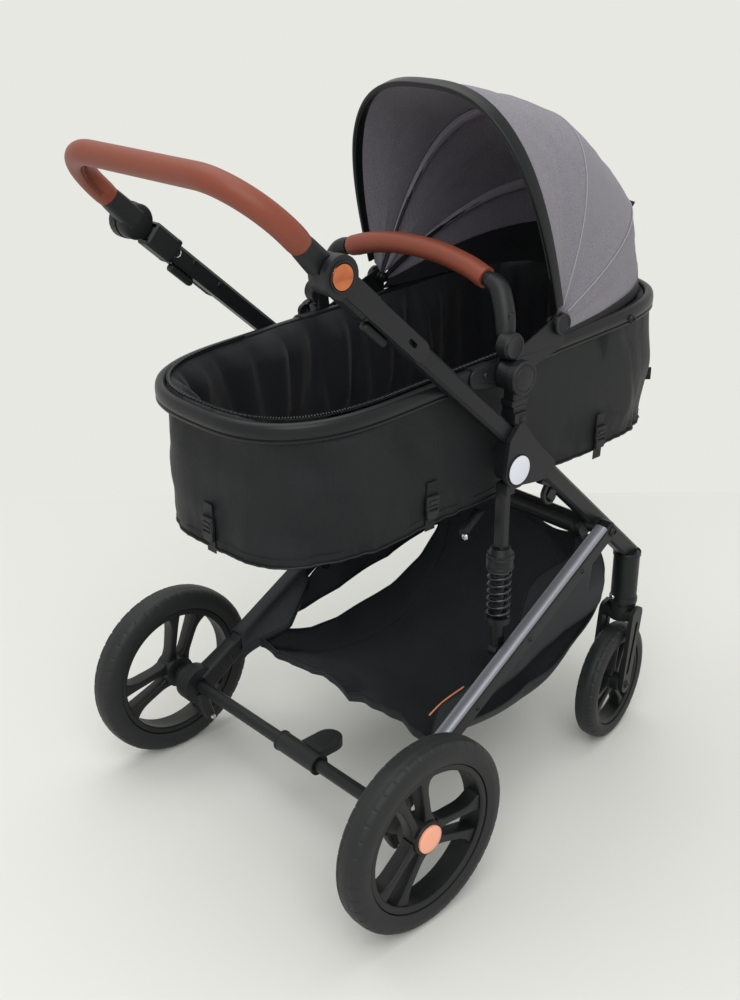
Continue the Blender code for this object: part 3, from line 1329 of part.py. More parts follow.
def hood():
    mid_eye = COT_HALF_W - BOW_WIRE_R - CLEAR
    front_bow()
    wire_bow("hood_bow_mid", MID_BOW_ANGLE, MID_BOW_A, MID_BOW_H, mid_eye)
    wire_bow("hood_bow_rear", REAR_BOW_ANGLE, REAR_BOW_A, REAR_BOW_H, mid_eye - 2 * BOW_WIRE_R - CLEAR * 2)
    behind = frame_up(FRONT_BOW_ANGLE - math.pi / 2) * (BOW_BAND_W / 2 + CLEAR * 4)
    edge = (FRONT_BOW_ANGLE, FRONT_BOW_A - 0.001, FRONT_BOW_H - 0.002)
    front = [bow_point(*edge, t) + behind for t in bow_turns()]
    mid_high = [bow_point(MID_BOW_ANGLE + CLOTH_SPLIT, MID_BOW_A, MID_BOW_H, t) for t in bow_turns()]
    mid_low = [bow_point(MID_BOW_ANGLE - CLOTH_SPLIT, MID_BOW_A, MID_BOW_H, t) for t in bow_turns()]
    rear_high = [bow_point(REAR_BOW_ANGLE + CLOTH_SPLIT, REAR_BOW_A, REAR_BOW_H, t) for t in bow_turns()]
    rear_low = [bow_point(REAR_BOW_ANGLE - CLOTH_SPLIT, REAR_BOW_A, REAR_BOW_H, t) for t in bow_turns()]
    hood_panel("front", front, mid_high)
    hood_panel("mid", mid_low, rear_high)
    hood_panel("rear", rear_low, head_hem())


# Basket
def split_across(obj, places):
    """Cuts the faces at these places along y, so that walls which lean afterwards stay near their shape."""
    bm = bmesh.new()
    bm.from_mesh(obj.data)
    for y in places:
        parts = bm.verts[:] + bm.edges[:] + bm.faces[:]
        bmesh.ops.bisect_plane(bm, geom=parts, dist=1e-6, plane_co=(0, y, 0), plane_no=(0, 1, 0))
    bm.to_mesh(obj.data)
    bm.free()


def basket_half_width(y, z):
    """The side walls lean out from the floor to the rails, and the front wall passes between the legs."""
    up = (z - BASKET_LOW_Z) / (rail_centre(y).z - BASKET_LOW_Z)
    side = BASKET_FLOOR_HALF_W + (BASKET_TOP_HALF_W - BASKET_FLOOR_HALF_W) * min(1.0, max(0.0, up))
    front = min(1.0, max(0.0, (z - BASKET_FRONT_FROM) / (BASKET_FRONT_TO - BASKET_FRONT_FROM)))
    front = front if y > BASKET_FRONT_Y else 0.0
    return side + (BASKET_FRONT_HALF_W - side) * front


def basket():
    """The sling under the seat: floor and front wall in one sweep, and side walls up to the rails."""
    hem_z = CROSSBAR_Z - CROSSBAR_R - CLEAR
    hem_y = CROSSBAR_Y + CROSSBAR_R * 0.6
    rear_y, rear_z = BASKET_FLOOR[0]
    outer = [(rear_y, rear_z + BASKET_REAR_LIP), *BASKET_FLOOR, (hem_y, hem_z), (hem_y - 0.016, hem_z)]
    rail_low = RAIL_H / 2 / math.cos(math.atan(RAIL_Z_SLOPE)) + CLEAR * 2
    for y in BASKET_TOP_YS:
        outer.append((y, rail_centre(y).z - rail_low))
    walls = prism(outer, -BASKET_TOP_HALF_W, BASKET_TOP_HALF_W)
    cloth = BASKET_CLOTH_T
    inner = [(rear_y - 0.02, 0.5), (rear_y - 0.02, rear_z + cloth)]
    inner += [(y, z + cloth * 1.2) for y, z in BASKET_FLOOR[:9]]
    inner += [(y - cloth * 1.3, z) for y, z in BASKET_FLOOR[9:]]
    inner += [(hem_y - cloth, hem_z - 0.002), (hem_y - cloth, 0.5)]
    hollow = prism(inner, -BASKET_TOP_HALF_W + cloth, BASKET_TOP_HALF_W - cloth)
    slot = prism(SIDE_SLOT, -BASKET_TOP_HALF_W - 0.01, BASKET_TOP_HALF_W + 0.01)
    made = cut(walls, hollow, slot)
    split_across(made, BASKET_TOP_YS)
    for vertex in made.data.vertices:
        spread = basket_half_width(vertex.co.y, vertex.co.z) - BASKET_TOP_HALF_W
        vertex.co.x += spread if vertex.co.x > 0 else -spread
    node("basket", made, "black_fabric")


rear_wheels()
casters()
front_legs()
crossbar()
pivot_housings()
lower_rails()
axle_brackets()
rear_axle()
brake_pedal()
strut_tubes()
strut_rods()
springs()
handle_tubes()
handle_hinges()
handlebar()
fold_triggers()
seat_posts()
release_buttons()
seat_hubs()
carrycot_rim()
carrycot_body()
mattress()
bumper()
hood()
basket()
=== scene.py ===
"""Looks of the pram travel system, built round its fixed frame. Metres, +Y forwards, +X right, +Z up."""

import math

import bmesh
import bpy
from mathutils import Matrix, Vector, noise
from mathutils.geometry import delaunay_2d_cdt


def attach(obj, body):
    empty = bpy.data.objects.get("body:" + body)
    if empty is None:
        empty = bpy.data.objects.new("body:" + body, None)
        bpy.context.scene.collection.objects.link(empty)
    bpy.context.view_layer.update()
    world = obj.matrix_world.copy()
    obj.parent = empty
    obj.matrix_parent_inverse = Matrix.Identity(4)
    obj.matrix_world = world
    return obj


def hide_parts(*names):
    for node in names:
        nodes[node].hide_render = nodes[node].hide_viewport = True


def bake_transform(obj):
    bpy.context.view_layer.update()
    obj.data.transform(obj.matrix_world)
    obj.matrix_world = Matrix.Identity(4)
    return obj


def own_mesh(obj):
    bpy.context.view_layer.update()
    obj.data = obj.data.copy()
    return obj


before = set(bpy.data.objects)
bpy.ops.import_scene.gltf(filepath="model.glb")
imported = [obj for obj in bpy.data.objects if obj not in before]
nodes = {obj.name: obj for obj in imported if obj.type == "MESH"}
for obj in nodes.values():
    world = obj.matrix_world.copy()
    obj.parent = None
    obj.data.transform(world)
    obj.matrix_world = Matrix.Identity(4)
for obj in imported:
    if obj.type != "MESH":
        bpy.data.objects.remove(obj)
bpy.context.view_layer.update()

X = Vector((1, 0, 0))
HANDLE_ANGLE = math.radians(41.4)
HANDLE_UP = Vector((0, -math.cos(HANDLE_ANGLE), math.sin(HANDLE_ANGLE)))
HANDLE_NORMAL = Vector((0, math.sin(HANDLE_ANGLE), math.cos(HANDLE_ANGLE)))
PIVOT = Vector((0, 0.008, 0.565))
HANDLE_FOOT = PIVOT + HANDLE_NORMAL * 0.031
HINGE = HANDLE_FOOT + HANDLE_UP * 0.446
HOOD = Vector((0, 0.1155, 0.7395))
BUMPER = Vector((0, 0.002, 0.735))
REAR = Vector((0.2833, -0.242, 0.14))
CASTER_X, CASTER_Y = 0.1765, 0.326
CASTER_YAW = 11.3
TRAIL = 0.0265
STRUT_X, STRUT_Y = 0.190, 0.002
CROSSBAR_Y, CROSSBAR_Z = 0.221, 0.397
BAR_X = 0.1885
GRIP_R, BUMPER_GRIP_R = 0.0152, 0.0148
REAR_TYRE_R, FRONT_TYRE_R = 0.14, 0.0975
TREAD = 10  # steps round the tyre from one block to the next
RIM_H = 0.026
FRONT_BOW = (math.radians(105.5), 0.187, 0.319)
MID_BOW = (math.radians(67), 0.1765, 0.2815)
REAR_BOW = (math.radians(27), 0.1750, 0.296)
HOOD_POWER = 2.84

DARK, LIGHT = 6, 7  # the colour inputs of a Mix node that mixes colours


# Materials
def linear(rgb):
    return tuple((c / 255 / 12.92 if c <= 10 else ((c / 255 + 0.055) / 1.055) ** 2.4) for c in rgb) + (1,)


def link(tree, a, b):
    tree.links.new(a, b)


def add(tree, kind, values=None, sources=None, **settings):
    """A new shader node with its settings, the values of its inputs and the sockets linked to them."""
    node = tree.nodes.new("ShaderNode" + kind)
    for key, value in settings.items():
        setattr(node, key, value)
    for key, value in (values or {}).items():
        node.inputs[key].default_value = value
    for key, source in (sources or {}).items():
        link(tree, source, node.inputs[key])
    return node


def found(tree, kind):
    """The first node of this kind in a material."""
    return next(node for node in tree.nodes if node.type == kind)


def plain(name, values):
    """A new material whose shader has these values."""
    made = bpy.data.materials.new(name)
    made.use_nodes = True
    for key, value in values.items():
        made.node_tree.nodes["Principled BSDF"].inputs[key].default_value = value
    return made


def surface(name, rgb, rough, metallic=0.0, vary=0.08, patch=9, grain=600, bump=0.08, fine=0.05, coat=0.0,
            sheen=0.0, shine=0.5):
    """Plastic, paint, rubber or metal: uneven colour and gloss over a fine moulded or cast grain."""
    made = plain(name, {"Metallic": metallic, "Specular IOR Level": shine, "Coat Weight": coat,
                        "Coat Roughness": 0.25, "Sheen Weight": sheen, "Sheen Roughness": 0.5})
    tree = made.node_tree
    shader = tree.nodes["Principled BSDF"]
    places = add(tree, "TexCoord").outputs["Object"]
    patches = add(tree, "TexNoise", {"Scale": patch, "Detail": 5}, {"Vector": places}).outputs["Fac"]
    base = linear(rgb)[:3]
    tones = {DARK: (*(c * (1 - vary) for c in base), 1), LIGHT: (*(min(1, c * (1 + vary)) for c in base), 1)}
    colour = add(tree, "Mix", tones, {0: patches}, data_type="RGBA")
    link(tree, colour.outputs[2], shader.inputs["Base Color"])
    limits = {"To Min": max(0.03, rough - fine), "To Max": min(1, rough + fine)}
    gloss = add(tree, "MapRange", limits, {"Value": patches})
    link(tree, gloss.outputs["Result"], shader.inputs["Roughness"])
    grains = add(tree, "TexNoise", {"Scale": grain, "Detail": 3}, {"Vector": places})
    bumps = add(tree, "Bump", {"Strength": bump, "Distance": 0.0004}, {"Height": grains.outputs["Fac"]})
    link(tree, bumps.outputs["Normal"], shader.inputs["Normal"])
    return made


def woven(name, dark, light, rough, pitch, melange, bump, sheen, slub=0.5, shine=0.25):
    """Cloth: threads in relief and a melange of two yarn colours over soft patches of gloss."""
    made = surface(name, dark, rough, vary=0.0, bump=bump, sheen=sheen, shine=shine)
    tree = made.node_tree
    places = found(tree, "TEX_COORD").outputs["Object"]
    height = None
    for direction in ("X", "Y", "Z"):
        threads = {"Scale": 0.314 / pitch, "Distortion": 0.6, "Detail": 1}
        wave = add(tree, "TexWave", threads, {"Vector": places}, bands_direction=direction).outputs["Fac"]
        if height is not None:
            wave = add(tree, "Math", None, {0: height, 1: wave}, operation="ADD").outputs[0]
        height = wave
    link(tree, height, found(tree, "BUMP").inputs["Height"])
    stretch = add(tree, "Mapping", {"Scale": (1, 1, 3.5)}, {"Vector": places})
    yarn = {"Scale": melange, "Detail": 2, "Roughness": 0.7}
    yarn = add(tree, "TexNoise", yarn, {"Vector": stretch.outputs["Vector"]})
    contrast = {"From Min": 0.5 - slub / 2, "From Max": 0.5 + slub / 2}
    contrast = add(tree, "MapRange", contrast, {"Value": yarn.outputs["Fac"]})
    colour = found(tree, "MIX")
    colour.inputs[DARK].default_value = linear(dark)
    colour.inputs[LIGHT].default_value = linear(light)
    link(tree, contrast.outputs["Result"], colour.inputs[0])
    return made


def leather(name, rgb):
    """Imitation leather: fine pebbled grain with soft wear."""
    made = surface(name, rgb, 0.46, vary=0.10, patch=14, fine=0.08, bump=0.35, shine=0.36)
    tree = made.node_tree
    pebbles = add(tree, "TexVoronoi", {"Scale": 620}, {"Vector": found(tree, "TEX_COORD").outputs["Object"]})
    bumps = found(tree, "BUMP")
    bumps.inputs["Distance"].default_value = 0.0003
    link(tree, pebbles.outputs["Distance"], bumps.inputs["Height"])
    return made


paint = surface("frame_paint", (23, 25, 27), 0.40, metallic=0.1, vary=0.12, bump=0.06, grain=900, shine=0.3)
plastic = surface("moulded_black", (19, 21, 23), 0.48, vary=0.14, bump=0.16, grain=1100, shine=0.35)
satin = surface("satin_black", (20, 22, 24), 0.36, vary=0.12, bump=0.08, grain=800, shine=0.28)
rubber = surface("tyre_foam", (30, 32, 33), 0.55, vary=0.16, patch=26, bump=0.25, grain=420, fine=0.1, shine=0.35)
wheel_black = surface("wheel_black", (19, 21, 22), 0.46, vary=0.12, bump=0.14, grain=700, shine=0.35)
copper = surface("copper", (208, 122, 82), 0.10, metallic=1.0, vary=0.35, patch=55, bump=0.02, fine=0.03)
coral = surface("coral_cap", (255, 174, 144), 0.35, vary=0.05, bump=0.05, coat=0.3)
badge = surface("badge_white", (222, 225, 236), 0.3, vary=0.02, bump=0.02, coat=0.4)
steel = surface("bright_steel", (190, 192, 195), 0.25, metallic=1.0, vary=0.05, bump=0.03)
spring = surface("spring_black", (66, 68, 71), 0.2, metallic=0.85, bump=0.04)
# A light grey that paints the highlight on the near rail's top.
rail_highlight_grey = surface("painted_rail_highlight", (134, 136, 144), 0.36, metallic=0.5, vary=0.04, patch=5, bump=0.05, grain=1200)
tan = leather("tan_leather", (125, 62, 45))
thread = surface("tan_thread", (98, 46, 32), 0.7, bump=0.3, grain=2500)
orange = surface("orange_piping", (222, 138, 100), 0.6, bump=0.4, grain=2500)
grey_cloth = woven("grey_melange", (102, 98, 109), (145, 141, 151), 0.9, 0.0013, 380, 0.6, 0.2, slub=0.45)
lining_cloth = woven("hood_lining", (128, 123, 135), (162, 157, 169), 0.9, 0.0013, 420, 0.5, 0.2, slub=0.4)
black_cloth = woven("black_nylon", (14, 15, 18), (24, 26, 30), 0.50, 0.0011, 420, 0.45, 0.0, shine=0.28)
velvet = woven("black_lining", (21, 22, 25), (34, 36, 41), 0.66, 0.0010, 300, 0.3, 0.12, shine=0.2)
# The basket's own dark grey nylon, drawn lighter than the tub's black nylon as painted light for the shade under the
# tub.
basket_nylon_painted_light = woven("basket_nylon_painted_light", (31, 34, 37), (49, 53, 57), 0.55, 0.0011, 420, 0.45, 0.0, shine=0.2)
pipe_grey = woven("grey_piping", (140, 136, 146), (166, 162, 172), 0.85, 0.0011, 900, 0.4, 0.1)

FINISH = {name: material for material, names in (
    (paint, "front_leg strut_tube lower_rail rear_axle strut_rod handle_tube handlebar"),
    (plastic, "front_crossbar pivot_housing seat_post release_button axle_bracket brake_pedal caster_fork"),
    (plastic, "handle_hinge fold_trigger seat_hub bumper_bar hood_bow_mid hood_bow_rear"),
    (satin, "carrycot_rim hood_bow_front"),
    (badge, "badge"),
    (spring, "spring"),
    (rubber, "rear_tyre front_tyre"),
    (wheel_black, "rear_wheel front_wheel"),
    (coral, "hub_cap"),
    (copper, "handle_button"),
    (tan, "handle_grip bumper_grip"),
    (black_cloth, "carrycot_body"),
    (velvet, "mattress"),
    (grey_cloth, "hood_panel_front hood_panel_mid hood_panel_rear"),
    (basket_nylon_painted_light, "basket"),
) for name in names.split()}
EDGE = {"badge": 0.0003, "release_button": 0.0004, "handle_button": 0.0004, "brake_pedal": 0.002}


def base_name(name):
    return name.rsplit("_", 1)[0] if name.endswith(("_left", "_right")) else name


for name, obj in nodes.items():
    base = base_name(name)
    obj.data.materials.clear()
    obj.data.materials.append(FINISH[base])
    custom = obj.data.attributes.get("custom_normal")
    if custom:
        obj.data.attributes.remove(custom)
    obj.data.polygons.foreach_set("use_smooth", [True] * len(obj.data.polygons))
    weld = obj.modifiers.new("weld", "WELD")
    weld.merge_threshold = 0.00002
    rounded = obj.modifiers.new("edges", "BEVEL")
    rounded.width = EDGE.get(base, 0.0012)
    rounded.segments = 2
    rounded.limit_method = "ANGLE"
    rounded.angle_limit = math.radians(32)
    rounded.harden_normals = False
    rounded.use_clamp_overlap = True
    weighted = obj.modifiers.new("normals", "WEIGHTED_NORMAL")
    weighted.keep_sharp = True


# Mesh tools
def piece(name, verts, faces, material, body, sharp=38, slot=None, replaces=()):
    """A new mesh that moves with a body, smooth-shaded except at edges sharper than sharp degrees."""
    mesh = bpy.data.meshes.new(name)
    mesh.from_pydata([tuple(v) for v in verts], [], faces)
    bm = bmesh.new()
    bm.from_mesh(mesh)
    bmesh.ops.remove_doubles(bm, verts=bm.verts, dist=0.00001)
    bmesh.ops.recalc_face_normals(bm, faces=bm.faces)
    for edge in bm.edges:
        if len(edge.link_faces) == 2 and edge.calc_face_angle(0) > math.radians(sharp):
            edge.smooth = False
    for face in bm.faces:
        face.smooth = True
    bm.to_mesh(mesh)
    bm.free()
    obj = bpy.data.objects.new(name, mesh)
    bpy.context.scene.collection.objects.link(obj)
    mesh.materials.append(material)
    if body:
        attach(obj, body)
    if replaces:
        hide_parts(*replaces)
    return obj


class Shape:
    """Verts and faces gathered from several simple forms, to become one piece."""

    def __init__(self):
        self.verts = []
        self.faces = []

    def grid(self, rows, wrap_rows=False, wrap_columns=False, caps=False):
        base = len(self.verts)
        width = len(rows[0])
        for row in rows:
            self.verts.extend(row)
        count = len(rows) if wrap_rows else len(rows) - 1
        across = width if wrap_columns else width - 1
        for i in range(count):
            for j in range(across):
                a = base + i * width + j
                b = base + i * width + (j + 1) % width
                c = base + ((i + 1) % len(rows)) * width + (j + 1) % width
                d = base + ((i + 1) % len(rows)) * width + j
                self.faces.append((a, b, c, d))
        if caps:
            self.faces.append([base + j for j in range(width)][::-1])
            self.faces.append([base + (len(rows) - 1) * width + j for j in range(width)])
        return self

    def lathe(self, profile, steps, place, closed=False, dent=None):
        """A profile of (along, radius) pairs turned round the local X axis of place."""
        rows = []
        for i in range(steps):
            turn = 2 * math.pi * i / steps
            row = []
            for k, (a, r) in enumerate(profile):
                reach = r - (dent(i, k, a, r) if dent else 0)
                row.append(place @ Vector((a, reach * math.cos(turn), reach * math.sin(turn))))
            rows.append(row)
        return self.grid(rows, wrap_rows=True, wrap_columns=closed)

    def sweep(self, points, section, closed=False, scales=None, start=None):
        """A flat section of (side, up) pairs carried along points without twisting."""
        points = [Vector(p) for p in points]
        count = len(points)
        rows = []
        side = None
        for i, point in enumerate(points):
            before = points[(i - 1) % count] if closed or i else point
            after = points[(i + 1) % count] if closed or i < count - 1 else point
            way = (after - before).normalized()
            if side is None:
                side = Vector(start) if start else (X if abs(way.x) < 0.9 else Vector((0, 0, 1)))
            side = (side - way * side.dot(way)).normalized()
            up = way.cross(side)
            k = scales[i] if scales else 1
            rows.append([point + side * (a * k) + up * (b * k) for a, b in section])
        return self.grid(rows, wrap_rows=closed, wrap_columns=True, caps=not closed)

    def block(self, place, size, bevel=0.0):
        """A box with its edges cut back, centred on place."""
        w, d, h = (s / 2 for s in size)
        bevel = min(bevel, w * 0.9, d * 0.9)
        ring = ((w - bevel, -d), (w, -d + bevel), (w, d - bevel), (w - bevel, d))
        ring += tuple((-x, y) for x, y in reversed(ring))
        rows = []
        for z, draw in ((-h, bevel), (-h + bevel, 0), (h - bevel, 0), (h, bevel)):
            rows.append([place @ Vector((x * (1 - draw / w), y * (1 - draw / d), z)) for x, y in ring])
        return self.grid(rows, wrap_columns=True, caps=True)

    def made(self, name, material, body, **more):
        return piece(name, self.verts, self.faces, material, body, **more)


def turned(name, profile, steps, place, material, body, **more):
    """A piece that is one profile turned round the local X axis of place."""
    return Shape().lathe(profile, steps, place).made(name, material, body, **more)


def circle(radius, count=16):
    turns = [2 * math.pi * i / count for i in range(count)]
    return [(radius * math.cos(turn), radius * math.sin(turn)) for turn in turns]


def oblong(width, height, corner, steps=5):
    """A rectangle with round corners, as a section."""
    ring = []
    for k, (sx, sy) in enumerate(((1, 1), (-1, 1), (-1, -1), (1, -1))):
        for i in range(steps + 1):
            turn = math.pi / 2 * (k + i / steps)
            x = sx * (width / 2 - corner) + corner * math.cos(turn)
            y = sy * (height / 2 - corner) + corner * math.sin(turn)
            ring.append((x, y))
    return ring


def smooth_route(points, per=6):
    """Points on a soft curve through the given ones."""
    points = [Vector(p) for p in points]
    ends = [points[0] * 2 - points[1], *points, points[-1] * 2 - points[-2]]
    route = []
    for i in range(1, len(ends) - 2):
        a, b, c, d = ends[i - 1 : i + 3]
        for k in range(per):
            t = k / per
            first = (c - a) * t + (a * 2 - b * 5 + c * 4 - d) * t * t
            route.append((b * 2 + first + (b * 3 - a - c * 3 + d) * t**3) * 0.5)
    route.append(points[-1])
    return route


def at(x, y, z, *turns):
    """A place, turned by (degrees, axis) pairs."""
    made = Matrix.Translation((x, y, z))
    for degrees, axis in turns:
        made = made @ Matrix.Rotation(math.radians(degrees), 4, axis)
    return made


def outwards(sign, x, y, z):
    """A place on one side of the pram, with its local X away from the middle."""
    return at(sign * x, y, z, (0 if sign > 0 else 180, "Z"))


def inwards(sign, x, y, z):
    """A place on one side of the pram, with its local X towards the middle."""
    return at(sign * x, y, z, (180 if sign > 0 else 0, "Z"))


def ripple(*place):
    """Smooth noise, the same on each run."""
    return noise.noise(Vector(place))


def screw(shape, place, radius):
    """A round screw head with a recessed middle, facing along the local X axis of place."""
    profile = ((0, radius * 1.15), (radius * 0.35, radius), (radius * 0.45, radius * 0.85))
    profile += ((radius * 0.45, radius * 0.5), (radius * 0.15, radius * 0.42), (radius * 0.15, 0.0))
    shape.lathe(profile, 16, place)


def thicken(obj, thickness, offset=-1):
    shell = obj.modifiers.new("cloth", "SOLIDIFY")
    shell.thickness = thickness
    shell.offset = offset


def cloth(shape, name, material, body, length, held, rests_on, **more):
    """A sheet of cloth as one piece, smooth-shaded but for its sharpest edges. Its length is not used."""
    obj = shape.made(name, material, body, sharp=80, **more)
    return obj


def eased(count, ends):
    """Scales for count points of a sweep, with the given ones at both ends."""
    return [ends[min(i, count - 1 - i, len(ends) - 1)] for i in range(count)]


def keep_result(obj):
    """Puts what the modifiers make of a piece into its mesh."""
    result = bpy.data.meshes.new_from_object(obj.evaluated_get(bpy.context.evaluated_depsgraph_get()))
    obj.modifiers.clear()
    obj.data = result


def swell(obj, voxel, pressure, cap, frames=20):
    """Lets a closed pad swell as cloth, holds each point within cap of its first place, and keeps the result."""
    remesh = obj.modifiers.new("remesh", "REMESH")
    remesh.mode = "VOXEL"
    remesh.voxel_size = voxel
    remesh.use_smooth_shade = True
    keep_result(obj)
    before = [vertex.co.copy() for vertex in obj.data.vertices]
    fabric = obj.modifiers.new("cloth", "CLOTH")
    fabric.settings.use_pressure = True
    fabric.settings.uniform_pressure_force = pressure
    fabric.settings.effector_weights.gravity = 0
    fabric.point_cache.frame_start = 1
    fabric.point_cache.frame_end = frames
    for number in range(1, frames + 1):
        bpy.context.scene.frame_set(number)
    keep_result(obj)
    bpy.context.scene.frame_set(1)
    for vertex, place in zip(obj.data.vertices, before):
        move = vertex.co - place
        if move.length > cap:
            vertex.co = place + move * (cap / move.length)


SIDES = ((1, "right"), (-1, "left"))


# Wheels
def tyre_profile(radius, half_w, depth):
    profile = []
    for i in range(27):
        turn = math.pi * i / 26
        along = half_w * math.copysign(abs(math.cos(turn)) ** 0.62, math.cos(turn))
        reach = radius - depth + depth * max(0.0, math.sin(turn)) ** 0.52
        groove = 0.0009 if i in (3, 23) else 0.0
        profile.append((along * (0.86 if i in (0, 26) else 1), reach - groove))
    return profile


def tyre(name, radius, half_w, depth, place, blocks, body):
    def dent(i, k, a, r):
        edge = abs(a) / half_w
        if edge > 0.985 or r < radius - depth * 0.5:
            return 0.0
        if i % TREAD == (0 if a > 0 else TREAD // 2) and edge > 0.42:
            return 0.0014
        return 0.0011 if k in (11, 15) else 0.0

    shape = Shape()
    shape.lathe(tyre_profile(radius, half_w, depth), blocks * TREAD, place, closed=True, dent=dent)
    shape.made(name + "_rubber", rubber, body, sharp=50, slot="tyre_rubber", replaces=(name,))


def wheel(name, outer, rim_depth, half_w, hub_r, hub_in, hub_out, phase, place, body, deep):
    """Rim, hub and three pairs of spokes, with rounded lips and a recessed hub face."""
    inner = outer - rim_depth
    lip = 0.0022
    rim = ((half_w - lip, outer), (half_w, outer - lip), (half_w, inner + lip), (half_w - lip, inner))
    rim += ((0.004, inner + 0.0018), (-0.004, inner + 0.0018))
    rim += tuple((-a, r) for a, r in reversed(rim[:4]))
    shape = Shape().lathe(rim, 120, place, closed=True)
    face = hub_out - 0.0008
    hub = ((hub_out - 0.002, 0.0), (hub_out - 0.002, hub_r - 0.005), (hub_out, hub_r - 0.004))
    hub += ((hub_out, hub_r - 0.0015), (face - 0.001, hub_r), (-hub_in + 0.001, hub_r), (-hub_in, hub_r - 0.002))
    hub += ((-hub_in, 0.0),)
    shape.lathe(hub, 48, place)
    for i in range(3):
        for side in (-1, 1):
            turn = phase + i * 2 * math.pi / 3
            out = Vector((0, math.cos(turn), math.sin(turn)))
            across = Vector((0, -math.sin(turn), math.cos(turn)))
            start = out * (hub_r * 0.70) + across * (side * hub_r * 0.46)
            end = out * (inner + rim_depth * 0.4) + across * (side * inner * 0.225)
            way = (end - start).normalized()
            square = way.cross(X)
            rows = []
            for k in range(15):
                share = k / 14
                splay = max(0.0, (share - 0.52) / 0.48) ** 2.6
                flare = splay + 0.4 * max(0.0, (0.25 - share) / 0.25) ** 2
                wide = outer * (0.108 + 0.215 * flare)
                thick = deep * (0.80 + 0.20 * share)
                centre = start.lerp(end, share) + across * (side * outer * 0.090 * splay)
                ring = [centre + X * a + square * b for a, b in oblong(thick, wide, 0.0026, 3)]
                rows.append([place @ p for p in ring])
            shape.grid(rows, wrap_columns=True, caps=True)
    shape.made(name + "_moulding", wheel_black, body, slot="wheel_black", replaces=(name,))


for sign, side in SIDES:
    place = outwards(sign, *REAR)
    body = "rear_wheel_" + side
    tyre("rear_tyre_" + side, REAR_TYRE_R, 0.022, 0.0315, place, 40, body)
    phase = math.radians(-12) if sign > 0 else math.radians(180 - 74)
    wheel("rear_wheel_" + side, 0.1088, 0.011, 0.0175, 0.025, 0.0205, 0.015, phase, place, body, 0.026)
    cap = ((0.0148, 0.0202), (0.0172, 0.0200), (0.0178, 0.0192), (0.0180, 0.012), (0.0181, 0.0))
    turned("hub_disc_" + side, cap, 64, place, coral, body, slot="orange_cap", replaces=("hub_cap_" + side,))
    yaw = math.radians(CASTER_YAW)
    x, y = sign * CASTER_X + TRAIL * math.sin(yaw), CASTER_Y - TRAIL * math.cos(yaw)
    place = at(x, y, FRONT_TYRE_R, (CASTER_YAW, "Z"))
    body = "front_wheel_" + side
    tyre("front_tyre_" + side, FRONT_TYRE_R, 0.018, 0.0225, place, 30, body)
    turn = math.radians(75)
    wheel("front_wheel_" + side, 0.0753, 0.0085, 0.0135, 0.015, 0.0212, 0.0212, turn, place, body, 0.021)
    bolts = Shape()
    for way in (1, -1):
        screw(bolts, place @ outwards(way, 0.0302, 0, 0), 0.0062)
    bolts.made("fork_bolts_" + side, steel if sign < 0 else satin, "caster_" + side)
    collar = ((0.0, 0.0212), (0.004, 0.0226), (0.011, 0.0226), (0.014, 0.0213))
    place = at(sign * CASTER_X, CASTER_Y, 0.2305, (-90, "Y"))
    turned("swivel_collar_" + side, collar, 40, place, satin, "chassis")
    pin = ((0.0, 0.0), (0.0, 0.0042), (0.0022, 0.0042), (0.0032, 0.0034), (0.0034, 0.0))
    place = at(sign * CASTER_X, 0.2955, 0.2507, (-90, "Z"))
    turned("barrel_pin_" + side, pin, 20, place, steel, "chassis")


# Springs
COIL_LOW, COIL_HIGH, COIL_R, COIL_TURNS, COIL_STEPS = 0.3387, 0.4097, 0.0155, 7, 26
for sign, side in SIDES:
    route = []
    for i in range(COIL_TURNS * COIL_STEPS + 1):
        share = i / (COIL_TURNS * COIL_STEPS)
        rise = min(1.0, max(0.0, (share - 0.055) / 0.89))
        turn = 2 * math.pi * COIL_TURNS * share
        x, y = sign * STRUT_X + COIL_R * math.cos(turn), STRUT_Y + COIL_R * math.sin(turn)
        route.append((x, y, COIL_LOW + (COIL_HIGH - COIL_LOW) * rise))
    coil = Shape().sweep(route, circle(0.0021, 10))
    coil = coil.made("coil_" + side, spring, "chassis", slot="spring_steel", replaces=("spring_" + side,))
    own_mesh(coil)
    cups = Shape()
    cup = ((0.0, 0.0190), (0.0008, 0.0197), (0.0022, 0.0197), (0.003, 0.0190))
    for z in (0.414, 0.428):
        cups.lathe(cup, 40, at(sign * STRUT_X, STRUT_Y, z, (-90, "Y")))
    cups.made("cup_rings_" + side, plastic, "chassis")


# Handle
def u_route(up, x, start, reach, corner, base, steps=14):
    """A line up one side of a U from start, round its corner and down the other side."""
    half = [base + up * s + X * x for s in (start, (start + reach - corner) / 2, reach - corner)]
    for i in range(1, steps + 1):
        turn = math.pi / 2 * i / steps
        half.append(base + up * (reach - corner + corner * math.sin(turn)) + X * (x - corner * (1 - math.cos(turn))))
    half.append(base + up * reach + X * (x - corner) * 0.45)
    half.append(base + up * reach)
    return half + [Vector((-p.x, p.y, p.z)) for p in reversed(half[:-1])]


bar_up = Vector((0, math.cos(math.radians(135)), math.sin(math.radians(135))))
bar_square = Vector((0, -bar_up.z, bar_up.y))
bar = Shape().sweep(u_route(bar_up, BAR_X, 0.014, 0.152, 0.085, HINGE), circle(0.011, 24))
for sign, side in SIDES:
    place = outwards(sign, BAR_X, HINGE.y, HINGE.z)
    hub = ((-0.008, 0.0), (-0.008, 0.0205), (-0.0068, 0.0222), (-0.005, 0.0235), (0.0095, 0.0235), (0.0112, 0.0228))
    bar.lathe(hub + ((0.0112, 0.0),), 56, place)
    neck = [HINGE + bar_up * s + X * (sign * BAR_X) for s in (0.004, 0.018, 0.030, 0.044, 0.0515)]
    bar.sweep(neck, oblong(0.0255, 0.030, 0.008), scales=(1.05, 1.0, 0.97, 0.92, 0.88), start=X)
bar.made("handle_bar_tube", plastic, "handle", slot="frame_black", replaces=("handlebar",))

